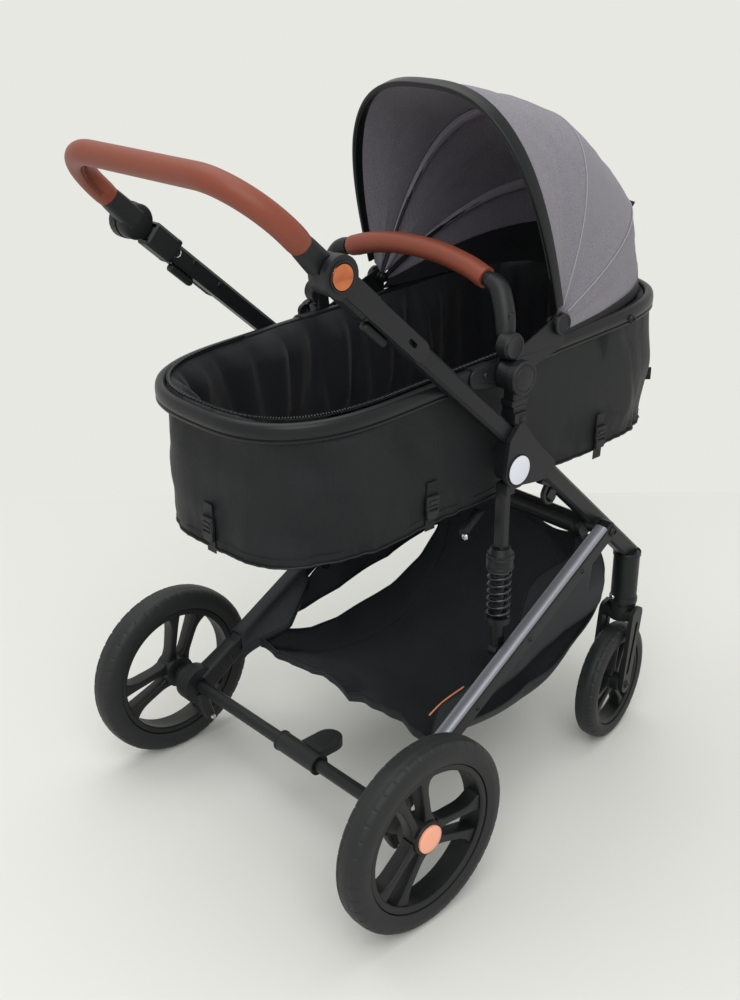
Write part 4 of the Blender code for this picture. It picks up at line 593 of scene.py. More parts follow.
grip_line = u_route(bar_up, BAR_X, 0.052, 0.152, 0.085, HINGE, 22)
grip = Shape().sweep(grip_line, circle(GRIP_R, 28), scales=eased(len(grip_line), (0.93, 0.985, 1.0)))
grip.made("handle_leather", tan, "handle", slot="tan_leather", replaces=("handle_grip",))


def along_line(line, pitch):
    """Places a pitch apart on a line, each with the way the line runs there."""
    places = []
    left = pitch / 2
    for a, b in zip(line, line[1:]):
        length = (b - a).length
        while left < length:
            places.append((a.lerp(b, left / length), (b - a).normalized()))
            left += pitch
        left -= length
    return places


def stitches(name, line, lean, radius, body, pitch=0.0046, spread=0.0028):
    """Two rows of short threads leaning together across a seam that runs on the inner side of a grip."""
    shape = Shape()
    for point, way in along_line(line, pitch):
        inward = lean(point, way)
        across = way.cross(inward).normalized()
        skin = point + inward * (radius + 0.0001)
        for row in (-1, 1):
            middle = skin + across * (row * spread)
            tip = way * 0.0014 + across * (row * 0.0009)
            shape.sweep((middle - tip, middle, middle + tip), circle(0.00045, 6))
    ridge = [point + lean(point, way) * (radius - 0.0003) for point, way in along_line(line, pitch)]
    shape.sweep(ridge, circle(0.0009, 8))
    shape.made(name, thread, body)


handle_heart = HINGE + bar_up * 0.05


def inside_handle(point, way):
    """The side of the handle's grip that its seam runs on."""
    square = bar_square * 0.55 * (-1 if bar_square.z > 0 else 1)
    away = handle_heart - point
    away = away - way * away.dot(way)
    aim = away.normalized() + square
    return (aim - way * aim.dot(way)).normalized()


stitches("handle_stitches", grip_line[2:-2], inside_handle, GRIP_R, "handle")

for sign, side in SIDES:
    place = outwards(sign, 0.2130, HINGE.y, HINGE.z)
    ring = ((0.0, 0.0182), (0.0012, 0.0180), (0.0016, 0.0170), (0.0012, 0.0158), (0.0, 0.0154))
    trims = Shape().lathe(ring, 56, place)
    spot = HINGE - HANDLE_UP * 0.036
    screw(trims, outwards(sign, 0.2058, spot.y, spot.z), 0.0060)
    for y, z in ((-0.2222, 0.8159), (-0.1827, 0.7784)):
        screw(trims, inwards(sign, 0.1812, y, z), 0.0036)
    band = [HINGE - HANDLE_UP * s + X * (sign * 0.192) for s in (0.0685, 0.0705, 0.0725)]
    trims.sweep(band, oblong(0.0285, 0.0350, 0.006), start=X)
    trims.made("hinge_trims_" + side, satin, "handle_frame")
    mirror = ((0.0009, 0.0150), (0.0019, 0.0146), (0.0022, 0.0138), (0.0019, 0.0130), (0.0018, 0.0))
    finish = copper if sign > 0 else satin
    turned("hinge_mirror_" + side, mirror, 56, place, finish, "handle_button_" + side, slot="copper")
    place = outwards(sign, 0.2112, PIVOT.y, PIVOT.z)
    lip = ((0.0, 0.0222), (0.0012, 0.0219), (0.0014, 0.0212), (0.0006, 0.0206), (0.0, 0.0206))
    turned("badge_lip_" + side, lip, 64, place, plastic, "chassis")
    face = ((0.0003, 0.0204), (0.0013, 0.0202), (0.0016, 0.0194), (0.0017, 0.0))
    node = "badge_" + side
    turned("badge_face_" + side, face, 64, place, badge, "chassis", slot="badge_white", replaces=(node,))


# Bumper bar
bumper_up = Vector((0, math.cos(math.radians(77)), math.sin(math.radians(77))))
BUMPER_LINE = ((0.182, 0.004), (0.179, 0.018), (0.174, 0.035), (0.166, 0.052), (0.157, 0.0665), (0.145, 0.0735))
BUMPER_LINE += ((0.128, 0.0775), (0.097, 0.0865), (0.050, 0.0945), (0.000, 0.0970))
half = [BUMPER + bumper_up * s + X * x for x, s in BUMPER_LINE]
bumper_route = smooth_route(half + [Vector((-p.x, p.y, p.z)) for p in reversed(half[:-1])], 7)
tube = Shape().sweep(bumper_route, circle(0.0105, 24))
for sign, side in SIDES:
    elbow = bumper_route[4:40] if sign > 0 else bumper_route[-40:-4]
    count = len(elbow)
    sizes = [1.0 + 0.28 * math.sin(math.pi * min(1, (i + 1) / count)) ** 0.35 for i in range(count)]
    tube.sweep(elbow, circle(0.0108, 24), scales=sizes)
    hub = ((-0.0093, 0.0), (-0.0093, 0.0165), (-0.0075, 0.0182), (0.0072, 0.0182), (0.0090, 0.0165), (0.0090, 0.0))
    tube.lathe(hub, 48, outwards(sign, 0.190, BUMPER.y, BUMPER.z))
    ring_at = bumper_route[14] if sign > 0 else bumper_route[-15]
    button = at(ring_at.x + sign * 0.0125, ring_at.y - 0.002, ring_at.z)
    tube.block(button, (0.004, 0.011, 0.015), 0.0012)
tube.made("bumper_tube", plastic, "bumper", slot="plastic_black", replaces=("bumper_bar",))
covered = bumper_route[41:-41]
pad = Shape().sweep(covered, circle(BUMPER_GRIP_R, 28), scales=eased(len(covered), (0.955, 0.99, 1.0)))
pad.made("bumper_leather", tan, "bumper", slot="tan_leather", replaces=("bumper_grip",))


def under_bumper(point, way):
    """The side of the bumper's grip that its seam runs on."""
    aim = Vector((0, 0.35, -1))
    return (aim - way * aim.dot(way)).normalized()


stitches("bumper_stitches", covered[2:-2], under_bumper, BUMPER_GRIP_R, "bumper")


# Carrycot
def cot_outline(inset, count):
    """The carrycot's plan: straight sides between two rounded ends."""
    a = 0.177 - inset
    curve = 0.200 - inset
    outline = []
    for i in range(count):
        turn = 2 * math.pi * (i + 0.5) / count
        c, s = math.cos(turn), math.sin(turn)
        power = 3.1 if s > 0 else 2.77
        reach = curve * abs(s) ** (2 / power)
        y = 0.225 + reach if s > 0 else -0.168 - reach
        outline.append((a * math.copysign(abs(c) ** (2 / power), c), y))
    return outline


def even_outline(inset, count):
    """The carrycot's plan as count points the same distance apart, with each point's outward way."""
    rough = [Vector(p) for p in cot_outline(inset, 720)]
    lengths = [0.0]
    for a, b in zip(rough, rough[1:] + rough[:1]):
        lengths.append(lengths[-1] + (b - a).length)
    points = []
    k = 0
    for i in range(count):
        want = lengths[-1] * i / count
        while lengths[k + 1] < want:
            k += 1
        share = (want - lengths[k]) / (lengths[k + 1] - lengths[k])
        points.append(rough[k].lerp(rough[(k + 1) % 720], share))
    made = []
    for i, p in enumerate(points):
        way = (points[(i + 1) % count] - points[i - 1]).normalized()
        made.append((p, Vector((way.y, -way.x)), lengths[-1] * i / count))
    return made


COT_HEAD, COT_FOOT = 0.425, -0.368
COT_LENGTH = 0.793


def rim_top(y):
    """Height of the rim's upper edge."""
    return 0.7126 + 0.0533 * y


def body_low(y):
    """Height of the tub's underside."""
    return 0.496 + 0.034 * (y - COT_FOOT) / COT_LENGTH


def drawn_in(y, level):
    """Where y comes to lie in the tub, which is shorter at its foot end than the rim."""
    return y + (0.012 + 0.003 * (1 - level)) * (COT_HEAD - y) / COT_LENGTH


RIM_SECTION = (
    (0.0012, 0.0016), (0.0, 0.0030), (0.0002, 0.0052), (0.0014, 0.0060), (0.0012, 0.0072), (0.0, 0.0084),
    (-0.0003, 0.0150), (0.0004, 0.0205), (0.0018, 0.0236), (0.0042, 0.0254), (0.0075, 0.0260),
    (0.0105, 0.0256), (0.0132, 0.0240), (0.0140, 0.0215), (0.0140, 0.0040), (0.0125, 0.0), (0.0035, 0.0),
)
rows = []
for inset, up in RIM_SECTION:
    row = []
    for p, out, run in even_outline(0, 220):
        y = p.y - out.y * inset
        row.append(Vector((p.x - out.x * inset, y, rim_top(p.y) - RIM_H + up)))
    rows.append(row)
rim = Shape().grid(rows, wrap_rows=True, wrap_columns=True)
rim.made("rim_band", satin, "carrycot", sharp=50, slot="frame_black", replaces=("carrycot_rim",))

zip_line = []
for p, out, run in even_outline(0.0138, 540):
    if p.y < 0.02 and not (p.y > -0.16 and p.x < 0):
        zip_line.append((p, out))
start = max(range(len(zip_line)), key=lambda i: (zip_line[i][0] - zip_line[i - 1][0]).length)
zip_line = zip_line[start:] + zip_line[:start]
teeth, tape = Shape(), Shape()
rows = [[], []]
for i, (p, out) in enumerate(zip_line):
    z = rim_top(p.y) + 0.0006
    inner = p - out * 0.0052
    rows[0].append(Vector((p.x, p.y, z + 0.0004)))
    rows[1].append(Vector((inner.x, inner.y, z - 0.0009)))
    spin = math.degrees(math.atan2(out.y, out.x))
    middle = p - out * (0.0026 + 0.0010 * (i % 2))
    teeth.block(at(middle.x, middle.y, z + 0.0012, (spin, "Z")), (0.0050, 0.0015, 0.0028), 0.0004)
tape.grid(rows)
tape.made("zip_tape", black_cloth, "carrycot")
teeth.made("zip_teeth", spring, "carrycot")

COLUMNS = 300
LEVELS = 26


def outer_point(p, out, run, level):
    """A point of the tub's outer cloth: level 0 is the bottom seam and 1 is under the rim."""
    foot = max(0.0, (-p.y - 0.20) / 0.17)
    folds = 0.0100 * ripple(run * 6, level * 0.9, 3.0) * (1 - 0.45 * level)
    folds += 0.0100 * ripple(run * 13 + level * 1.2, level * 0.9, 7.0) * math.sin(math.pi * level) ** 0.5
    folds += 0.0040 * ripple(run * 6 + level * 3.2, level * 2.0 - run * 5, 11.0)
    broad = abs(ripple(run * 8 + level * 0.5, level * 0.3, 17.0)) ** 0.9
    folds += 0.020 * (broad - 0.2) * math.sin(math.pi * level) ** 0.6
    gather = 0.0050 * ripple(run * 60, level * 2.0, 1.0) * (1 - level) ** 3
    tuck = 0.0018 * ripple(run * 60, 0.0, 5.0) * level**7
    squeeze = 0.005 + 0.005 * (1 - level) - 0.004 * math.sin(math.pi * level)
    squeeze += out.y**4 * ((0.012 if out.y < 0 else 0.006) * level - 0.008 * (1 - level))
    inset = squeeze - folds - gather - tuck - 0.0008 * foot
    inset = max(inset, 0.009 - 0.05 * max(0.0, abs(p.y) - 0.09))
    y = p.y - out.y * inset
    low = body_low(p.y) + 0.002 * ripple(run * 32, 4.0, 2.0)
    high = rim_top(p.y) - RIM_H + 0.003
    return Vector((p.x - out.x * inset, drawn_in(y, level), low + (high - low) * level))


outline = even_outline(0, COLUMNS)
rows = [[outer_point(p, out, run, k / LEVELS) for p, out, run in outline] for k in range(LEVELS + 1)]
skirt = Shape().grid(rows, wrap_columns=True)
base = []
for k, inset in ((1, 0.004), (2, 0.014), (3, 0.05), (4, 0.11)):
    ring = []
    for (p, out, run), top in zip(outline, rows[0]):
        toward = Vector((-top.x, 0.02 - top.y)).normalized()
        ring.append(Vector((top.x + toward.x * inset, top.y + toward.y * inset, top.z + 0.0008 * k)))
    base.append(ring)
skirt.grid([rows[0], *base], wrap_columns=True)
skirt.faces.append([len(skirt.verts) - COLUMNS + j for j in range(COLUMNS)])
TUB_STRIP = 1.75
cloth(skirt, "tub_cloth", black_cloth, "carrycot", TUB_STRIP, "stretched", ["rim_band"], slot="black_fabric",
      replaces=("carrycot_body",))
hems = Shape()
piping = [outer_point(p, out, run, 0.012) + Vector((out.x, out.y, 0)) * 0.0008 for p, out, run in outline]
hems.sweep(piping, circle(0.0017, 8), closed=True)
hems.sweep([q + Vector((0, 0, 0.012)) for q in piping], circle(0.0004, 5), closed=True)
hems.made("tub_piping", plastic, "carrycot")


def lining_point(p, out, run, level):
    """A point of the lining: level 0 is on the pad and 1 is over the rim's inner edge."""
    hold = min(1.0, 5 * (1 - level)) ** 0.6 * min(1.0, 0.35 + 3 * level)
    folds = 0.036 * abs(ripple(run * 9.5 + level * 0.3, level * 0.2, 21.0)) ** 0.9
    folds += 0.036 * abs(ripple(run * 23 - level * 0.4, level * 0.3, 23.0))
    folds += 0.0040 * ripple(run * 44, level * 1.2, 29.0)
    inset = 0.0168 - 0.002 * (1 - level) + folds * hold + (0.007 * level * out.y**4 if out.y < 0 else 0.0)
    puff = 0.0025 * max(0.0, ripple(run * 9, 0.0, 31.0)) * level**6
    share = (COT_HEAD - p.y) / COT_LENGTH
    y = p.y - out.y * inset + (0.012 * (1 - level**4) + 0.008 * (1 - level)) * share
    low = body_low(p.y) + 0.034
    high = rim_top(p.y) - 0.0035 + puff
    return Vector((p.x - out.x * inset, y, low + (high - low) * level))


rows = [[lining_point(p, out, run, k / 22) for p, out, run in outline] for k in range(23)]
TUCK = 0.0142
tuck = [Vector((p.x - out.x * TUCK, p.y - out.y * TUCK, rim_top(p.y) - 0.010)) for p, out, run in outline]
lining = Shape().grid([*rows, tuck], wrap_columns=True)
cloth(lining, "tub_lining", velvet, "carrycot", TUB_STRIP, "gathered", ["rim_band"], slot="black_fabric")

pad_rows = []
for up, inset in ((0.0, 0.030), (0.12, 0.024), (0.5, 0.0225), (0.85, 0.026), (1.0, 0.036)):
    ring = []
    for p, out, run in even_outline(0, 120):
        y = drawn_in(p.y - out.y * inset, 0)
        ring.append(Vector((p.x - out.x * inset, y, body_low(p.y) + 0.0065 + 0.026 * up)))
    pad_rows.append(ring)
middle = Vector((0, 0.03, 0))
for share in (0.86, 0.7, 0.5, 0.3, 0.12):
    ring = []
    for q in pad_rows[4]:
        y = middle.y + (q.y - middle.y) * share
        ring.append(Vector((q.x * share, y, body_low(y) + 0.0325 + 0.004 * (1 - share**2))))
    pad_rows.append(ring)
pad = Shape().grid(pad_rows, wrap_columns=True, caps=True)
pad = pad.made("mattress_pad", velvet, "carrycot", sharp=80, slot="black_fabric", replaces=("mattress",))
swell(pad, 0.006, 4, 0.005)
for vertex in pad.data.vertices:
    spot = vertex.co
    if spot.z > body_low(spot.y) + 0.022:
        across, along = spot.x / 0.085, spot.y / 0.085
        seam_near = min(abs(across + along - round(across + along)), abs(across - along - round(across - along)))
        spot.z -= 0.0030 * max(0.0, 1 - seam_near / 0.22) ** 2
soft = pad.modifiers.new("soft", "SUBSURF")
soft.levels = soft.render_levels = 1


def buckle(name, spot, turn, tilt, body):
    """A webbing loop and a side-squeeze clip that lie flat on the tub's cloth, with +X of the place outwards."""
    place = at(*spot, (turn, "Z"), (tilt, "Y"))
    shape = Shape()
    shape.block(place @ at(0.0035, 0, 0.006), (0.006, 0.024, 0.020), 0.0015)
    shape.block(place @ at(0.0045, 0, -0.012), (0.005, 0.019, 0.014), 0.0015)
    for across in (-0.0095, 0.0095):
        shape.block(place @ at(0.0045, across, -0.004), (0.0055, 0.0035, 0.022), 0.001)
    shape.block(place @ at(0.0072, 0, 0.008), (0.0012, 0.015, 0.0035), 0.0004)
    shape.block(place @ at(0.0072, 0, 0.001), (0.0012, 0.015, 0.0025), 0.0004)
    shape.made(name, plastic, body)
    band = Shape()
    band.block(place @ at(0.0012, 0, 0.024), (0.0016, 0.019, 0.022), 0.0004)
    band.block(place @ at(0.0014, 0, -0.026), (0.0016, 0.018, 0.020), 0.0004)
    band.made(name + "_web", black_cloth, body)


def on_tub(x, y, level):
    """The spot on the outer cloth nearest to x and y at this level, and the cloth's way there in degrees."""
    p, out, run = min(outline, key=lambda spot: (spot[0] - Vector((x, y))).length)
    return outer_point(p, out, run, level), math.degrees(math.atan2(out.y, out.x))


CLIPS = (("foot", 0.004, COT_FOOT, 0.17), ("middle", 0.177, -0.125, 0.17), ("head", 0.177, 0.226, 0.13))
for word, x, y, level in CLIPS:
    for sign, side in SIDES if word != "foot" else SIDES[:1]:
        spot, turn = on_tub(sign * x, y, level)
        buckle("clip_%s_%s" % (word, side), spot, turn, 3, "carrycot")
spot, turn = on_tub(0.140, 0.400, 0.36)
tab = Shape().block(at(*spot, (turn, "Z")) @ at(0.004, 0, 0), (0.010, 0.002, 0.020), 0.0006)
tab.made("head_tab", black_cloth, "carrycot")


def on_rim(sign, y):
    """A point in the middle of the rim's side."""
    return Vector((sign * 0.1705, y, rim_top(y) - RIM_H / 2))


for sign, side in SIDES:
    trims = Shape()
    screw(trims, outwards(sign, 0.1772, 0.286, rim_top(0.286) - 0.017), 0.0062)
    screw(trims, outwards(sign, 0.1802, -0.030, rim_top(-0.030) - 0.0125), 0.0040)
    dome = ((0.0, 0.0230), (0.0014, 0.0222), (0.0017, 0.0198), (0.0007, 0.0186), (0.0007, 0.0172), (0.0019, 0.0160))
    trims.lathe(dome + ((0.0028, 0.008), (0.0030, 0.0)), 64, outwards(sign, 0.2143, 0.006, 0.695))
    if sign < 0:
        knob = ((0.0, 0.0095), (0.0010, 0.0100), (0.0060, 0.0100), (0.0072, 0.0090), (0.0074, 0.0))
        trims.lathe(knob, 32, outwards(sign, 0.1775, -0.0329, 0.7135))
    trims.made("hub_trims_" + side, plastic, "carrycot")
    dome = ((0.0, 0.0172), (0.0012, 0.0165), (0.0015, 0.0148), (0.0008, 0.0135), (0.0010, 0.0))
    turned("bumper_caps_" + side, dome, 56, outwards(sign, 0.1995, BUMPER.y, BUMPER.z), satin, "bumper")
    sleeve = Shape()
    for y in (-0.052, -0.049):
        ring = on_rim(sign, y)
        sleeve.sweep([ring, ring + Vector((0, 0.0016, 0.0001))], oblong(0.0175, 0.0290, 0.005), start=X)
    line = [on_rim(sign, y) for y in (-0.050, -0.034, -0.018)]
    sleeve.sweep(line, oblong(0.0165, 0.0280, 0.005), start=X)
    sleeve.made("rim_sleeve_" + side, plastic, "carrycot")


# Hood
def bow_point(bow, turn, inset=0.0):
    """A point of a bow, given as (angle, half width, height), at a turn from its right foot."""
    angle, half_width, height = bow
    c, s = math.cos(turn), math.sin(turn)
    x = (half_width - inset) * math.copysign(abs(c) ** (2 / HOOD_POWER), c)
    reach = (height - inset) * abs(s) ** (2 / HOOD_POWER)
    return HOOD + Vector((x, math.cos(angle) * reach, math.sin(angle) * reach))


def turns_between(start, count):
    """Turns from one foot of a bow to the other."""
    return [start + (math.pi - 2 * start) * i / (count - 1) for i in range(count)]


def polar(place):
    """A place as x, and the angle and distance from the hood's pivot."""
    y, z = place.y - HOOD.y, place.z - HOOD.z
    return place.x, math.atan2(z, y), math.hypot(y, z)


def cloth_rows(first, last, dip_depth, count, low=0.0, high=1.0, inset=0.0, seed=0.0, drag=0.0):
    """Rows of cloth from one bow to the next, dipping between them, with soft pulls that run out from the pivots."""
    grid = []
    for i in range(count + 1):
        share = low + (high - low) * i / count
        row = []
        for k, (a, b) in enumerate(zip(first, last)):
            around = k / (len(first) - 1)
            x, angle, reach = (p + (q - p) * share for p, q in zip(polar(a), polar(b)))
            hold = math.sin(math.pi * share)
            side = abs(2 * around - 1)
            dip = dip_depth * hold
            dip += 0.0022 * hold * ripple(share * 5 + seed, around * 16, seed) * (0.5 + side)
            dip += 0.0010 * ripple(share * 14 + seed, around * 9, seed + 3) * hold
            dip += drag * hold * max(0.0, ripple(share * 3 + seed, around * 5, seed + 9))
            dip += inset
            inner = max(0.0, 1 - dip / max(reach, 0.02))
            x = x * (1 - (dip - inset) / 0.4) - math.copysign(inset, x) * min(1.0, abs(x) / 0.12)
            row.append(HOOD + Vector((x, math.cos(angle) * reach * inner, math.sin(angle) * reach * inner)))
        grid.append(row)
    return grid


def bend_by_angle(obj):
    """Puts the piece's placement into its mesh."""
    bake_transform(obj)


COLUMN_TURNS = [t + 0.045 * math.sin(2 * t) * -1 for t in turns_between(math.radians(1.3), 130)]
behind = Vector((0, math.cos(FRONT_BOW[0] - math.pi / 2), math.sin(FRONT_BOW[0] - math.pi / 2)))
front_edge = [bow_point(FRONT_BOW, t, 0.0035) + behind * 0.004 for t in COLUMN_TURNS]
mid_edge = [bow_point(MID_BOW, t) for t in COLUMN_TURNS]
rear_edge = [bow_point(REAR_BOW, t) for t in COLUMN_TURNS]
hem_edge = []
for t in COLUMN_TURNS:
    reach = 0.3030 * abs(math.sin(t)) ** (2 / HOOD_POWER)
    hem = rim_top(HOOD.y + reach) - 0.0016 - HOOD.z
    hem_edge.append(bow_point((math.asin(max(-0.98, hem / reach)), 0.1742, 0.3030), t))

PANEL = 0.0016
HEM_SHARE = 0.84
panel = Shape().grid(cloth_rows(front_edge, mid_edge, 0.010, 26, seed=1.0, drag=0.002))
panel = cloth(panel, "hood_cloth_front", grey_cloth, None, 0.85, "stretched", ["hood_band", "hood_bow_mid"],
              slot="hood_fabric", replaces=("hood_panel_front",))
thicken(panel, PANEL)
bend_by_angle(panel)
panel = Shape().grid(cloth_rows(mid_edge, rear_edge, 0.008, 24, seed=5.0, drag=0.003))
panel = cloth(panel, "hood_cloth_middle", grey_cloth, None, 0.80, "stretched", ["hood_bow_mid", "hood_bow_rear"],
              slot="hood_fabric", replaces=("hood_panel_mid",))
thicken(panel, PANEL)
bend_by_angle(panel)
panel = Shape().grid(cloth_rows(rear_edge, hem_edge, 0.004, 18, high=HEM_SHARE, seed=9.0, drag=0.003))
panel = cloth(panel, "hood_cloth_rear", grey_cloth, "carrycot", 0.80, "stretched", ["hood_bow_rear", "rim_band"],
              slot="hood_fabric", replaces=("hood_panel_rear",))
thicken(panel, PANEL)
hem = Shape().grid(cloth_rows(rear_edge, hem_edge, 0.004, 5, low=HEM_SHARE, seed=9.0, drag=0.003))
hem = cloth(hem, "hood_hem", black_cloth, "carrycot", 0.85, "stretched", ["hood_cloth_rear", "rim_band"],
            slot="black_fabric")
thicken(hem, 0.0018)
liner = Shape().grid(cloth_rows(rear_edge, hem_edge, 0.004, 14, low=0.50, inset=0.006, seed=15.0, drag=0.004))
cloth(liner, "hood_liner", velvet, "carrycot", 0.85, "stretched", ["hood_cloth_rear"], slot="black_fabric")


for word, bow, body in (("middle", MID_BOW, "hood_middle"), ("rear", REAR_BOW, "carrycot")):
    line = [bow_point(bow, t, -0.0002) for t in turns_between(0.03, 150)]
    Shape().sweep(line, circle(0.0010, 8)).made("hood_piping_" + word, pipe_grey, body)
    line = [bow_point(bow, t, 0.0062) for t in turns_between(0.10, 100)]
    sizes = [min(1.0, 0.35 + 0.65 * min(i, 99 - i) / 30) for i in range(100)]
    normal = Vector((0, -math.sin(bow[0]), math.cos(bow[0])))
    sleeve = Shape().sweep(line, oblong(0.0145, 0.0098, 0.004, 4), scales=sizes, start=normal)
    edge = [[p + normal * (s * 0.0076 * size) for p, size in zip(line, sizes)] for s in (-1, 1)]
    for rim_line in edge:
        sleeve.sweep(rim_line, circle(0.0013, 6))
    sleeve.made("hood_sleeve_" + word, lining_cloth, body, slot="hood_fabric")

normal = Vector((0, -math.sin(FRONT_BOW[0]), math.cos(FRONT_BOW[0])))
line = [bow_point(FRONT_BOW, t, 0.0031) for t in turns_between(0.03, 150)]
sizes = [min(1.0, 0.72 + 0.28 * min(i, 149 - i) / 30) for i in range(150)]
section = oblong(0.0200, 0.0062, 0.0026, 4)
band = Shape().sweep(line, section, scales=sizes, start=normal)
for sign, side in SIDES:
    hub = ((0.0, 0.0), (0.0, 0.0140), (0.0012, 0.0155), (0.0062, 0.0155), (0.0076, 0.0142), (0.0072, 0.0118))
    band.lathe(hub + ((0.0064, 0.0112), (0.0066, 0.0)), 48, outwards(sign, 0.1803, HOOD.y, HOOD.z))
band.made("hood_band", satin, "hood_front", slot="plastic_black", replaces=("hood_bow_front",))
lip = [bow_point(FRONT_BOW, t, 0.0062) - behind * 0.0078 for t in turns_between(0.12, 130)]
Shape().sweep(lip, circle(0.0012, 8)).made("hood_band_lip", plastic, "hood_front")

tab = Shape().block(at(0.0917, 0.376, 0.8520, (-18, "Z"), (-32, "X")), (0.020, 0.0016, 0.011), 0.0005)
tab.made("hood_tab", black_cloth, "carrycot")


# Basket
BASKET_LOW = 0.125
BASKET_BACK = (-0.130, 0.192)
FLOOR = ((-0.130, 0.172), (-0.095, 0.160), (-0.050, 0.145), (0.000, 0.133), (0.050, 0.126), (0.100, 0.128))
FLOOR += ((0.150, 0.139), (0.195, 0.165), (0.235, 0.200), (0.265, 0.240), (0.278, 0.285), (0.272, 0.330))
FLOOR += ((0.255, 0.360), (0.2306, 0.3807))
SLOT = ((-0.094, 0.193), (-0.076, 0.184), (-0.036, 0.1754), (0.022, 0.1722), (0.093, 0.1776), (0.159, 0.1913))
SLOT += ((0.213, 0.217), (0.246, 0.246), (0.261, 0.268), (0.245, 0.266), (0.210, 0.257), (0.145, 0.2433))
SLOT += ((0.054, 0.2250), (-0.039, 0.2090), (-0.080, 0.1990))


def rail_z(y):
    """Height of the middle of a lower rail."""
    return 0.2782 + 0.592 * y


def rail_x(y):
    """How far the middle of a lower rail is from the middle of the pram."""
    return 0.2146 - 0.018 * y


def basket_half_width(y, z, rise=0.0):
    """Half the basket's width at a place whose distance from the floor's curve is rise."""
    up = min(1.0, max(0.0, (z - BASKET_LOW) / (rail_z(y) - BASKET_LOW)))
    side = 0.172 + 0.036 * up
    side -= 0.022 * (1 - min(1.0, rise / 0.048)) ** 2 * min(1.0, max(0.0, (y + 0.125) / 0.07))
    front = min(1.0, max(0.0, (z - 0.300) / 0.040)) if y > 0.200 else 0.0
    return side + (0.163 - side) * front


def basket_ripple(x, y, z):
    """How far the basket's cloth stands off its smooth shape."""
    slant = ripple(x * 7 + y * 5, y * 6 - x * 4, z * 4)
    crease = 0.018 * abs(slant) ** 0.8 - 0.005
    return crease + 0.0060 * ripple(x * 8, y * 9, z * 8) + 0.0015 * ripple(x * 26, y * 26, z * 22 + 5)


profile = smooth_route([(0, y, z) for y, z in FLOOR], 5)
rows = []
for i, p in enumerate(profile):
    before = profile[max(0, i - 1)]
    after = profile[min(len(profile) - 1, i + 1)]
    way = (after - before).normalized()
    square = Vector((0, -way.z, way.y))
    width = basket_half_width(p.y, p.z)
    row = []
    for k in range(41):
        share = -1 + 2 * k / 40
        hold = 1 - share**8
        off = (basket_ripple(share * width, p.y, p.z) + 0.002) * hold
        lip = 0.0080 * ripple(share * 7, 2.0, 0.0) * max(0.0, 1 - i / 9)
        row.append(p + X * (share * width) + square * off + Vector((0, lip, 0)))
    rows.append(row)
sling = Shape().grid(rows)
back_lip = [[q + Vector((0.0, -0.001 * k, 0.005 * k)) for q in rows[0]] for k in range(4)]
sling.grid(back_lip[::-1])


def spaced(points, pitch):
    """Points about a pitch apart along a broken line, without its last point."""
    made = []
    for a, b in zip(points, points[1:]):
        a, b = Vector(a), Vector(b)
        count = max(1, round((b - a).length / pitch))
        made += [a.lerp(b, i / count) for i in range(count)]
    return made


def smooth_loop(points, per):
    """Points on a soft closed curve through the given (y, z) pairs."""
    count = len(points)
    ends = [Vector((0, *points[i % count])) for i in range(-1, count + 2)]
    made = []
    for i in range(1, count + 1):
        a, b, c, d = ends[i - 1 : i + 3]
        for k in range(per):
            t = k / per
            q = (b * 2 + (c - a) * t + (a * 2 - b * 5 + c * 4 - d) * t * t + (b * 3 - a - c * 3 + d) * t**3) * 0.5
            made.append(Vector((q.y, q.z)))
    return made


top_edge = [(0.2146, 0.3807), (0.196, rail_z(0.196) - 0.0145), (0.130, rail_z(0.130) - 0.0145)]
top_edge += [(y, rail_z(y) - 0.0145) for y in (0.060, 0.0, -0.060)]
rim_line = [Vector((p.y, p.z)) for p in profile] + spaced(top_edge + [BASKET_BACK], 0.009)
rim_line.append(Vector(BASKET_BACK))
hole_line = smooth_loop(SLOT, 5)
MESH = 0.0085
inside = []
y = -0.125
while y < 0.28:
    z = BASKET_LOW
    while z < 0.39:
        inside.append(Vector((y + 0.002 * ripple(y * 90, z * 90, 1), z)))
        z += MESH
    y += MESH


def in_loop(q, loop):
    """Whether q lies inside a closed broken line."""
    crossed = False
    for a, b in zip(loop, loop[1:] + loop[:1]):
        if (a.y > q.y) != (b.y > q.y) and q.x < (b.x - a.x) * (q.y - a.y) / (b.y - a.y) + a.x:
            crossed = not crossed
    return crossed


def near_loop(q, loop, space):
    return any((q - a).length < space for a in loop)


inside = [q for q in inside if in_loop(q, rim_line) and not in_loop(q, hole_line)]
inside = [q for q in inside if not near_loop(q, rim_line, 0.005) and not near_loop(q, hole_line, 0.005)]
flat = rim_line + hole_line + inside
n, m = len(rim_line), len(hole_line)
edges = [(i, (i + 1) % n) for i in range(n)] + [(n + i, n + (i + 1) % m) for i in range(m)]
points, _, triangles, _, _, _ = delaunay_2d_cdt(flat, edges, [], 0, 0.00001)
kept = []
for triangle in triangles:
    heart = sum((points[i] for i in triangle), Vector((0, 0))) / 3
    if in_loop(heart, rim_line) and not in_loop(heart, hole_line):
        kept.append(triangle)


def rise_above_floor(q):
    """How far a point of the side is from the floor's curve."""
    near = 1.0
    for a, b in zip(profile, profile[1:]):
        span = Vector((b.y - a.y, b.z - a.z))
        share = min(1.0, max(0.0, (q - Vector((a.y, a.z))).dot(span) / span.length_squared))
        near = min(near, (q - Vector((a.y, a.z)) - span * share).length)
    return near


def side_point(sign, q):
    """The point of the basket's side cloth at (y, z) q."""
    rise = rise_above_floor(q)
    off = 0.6 * basket_ripple(sign * 0.2, q.x, q.y) * min(1.0, rise / 0.03)
    return Vector((sign * (basket_half_width(q.x, q.y, rise) + off), q.x, q.y))


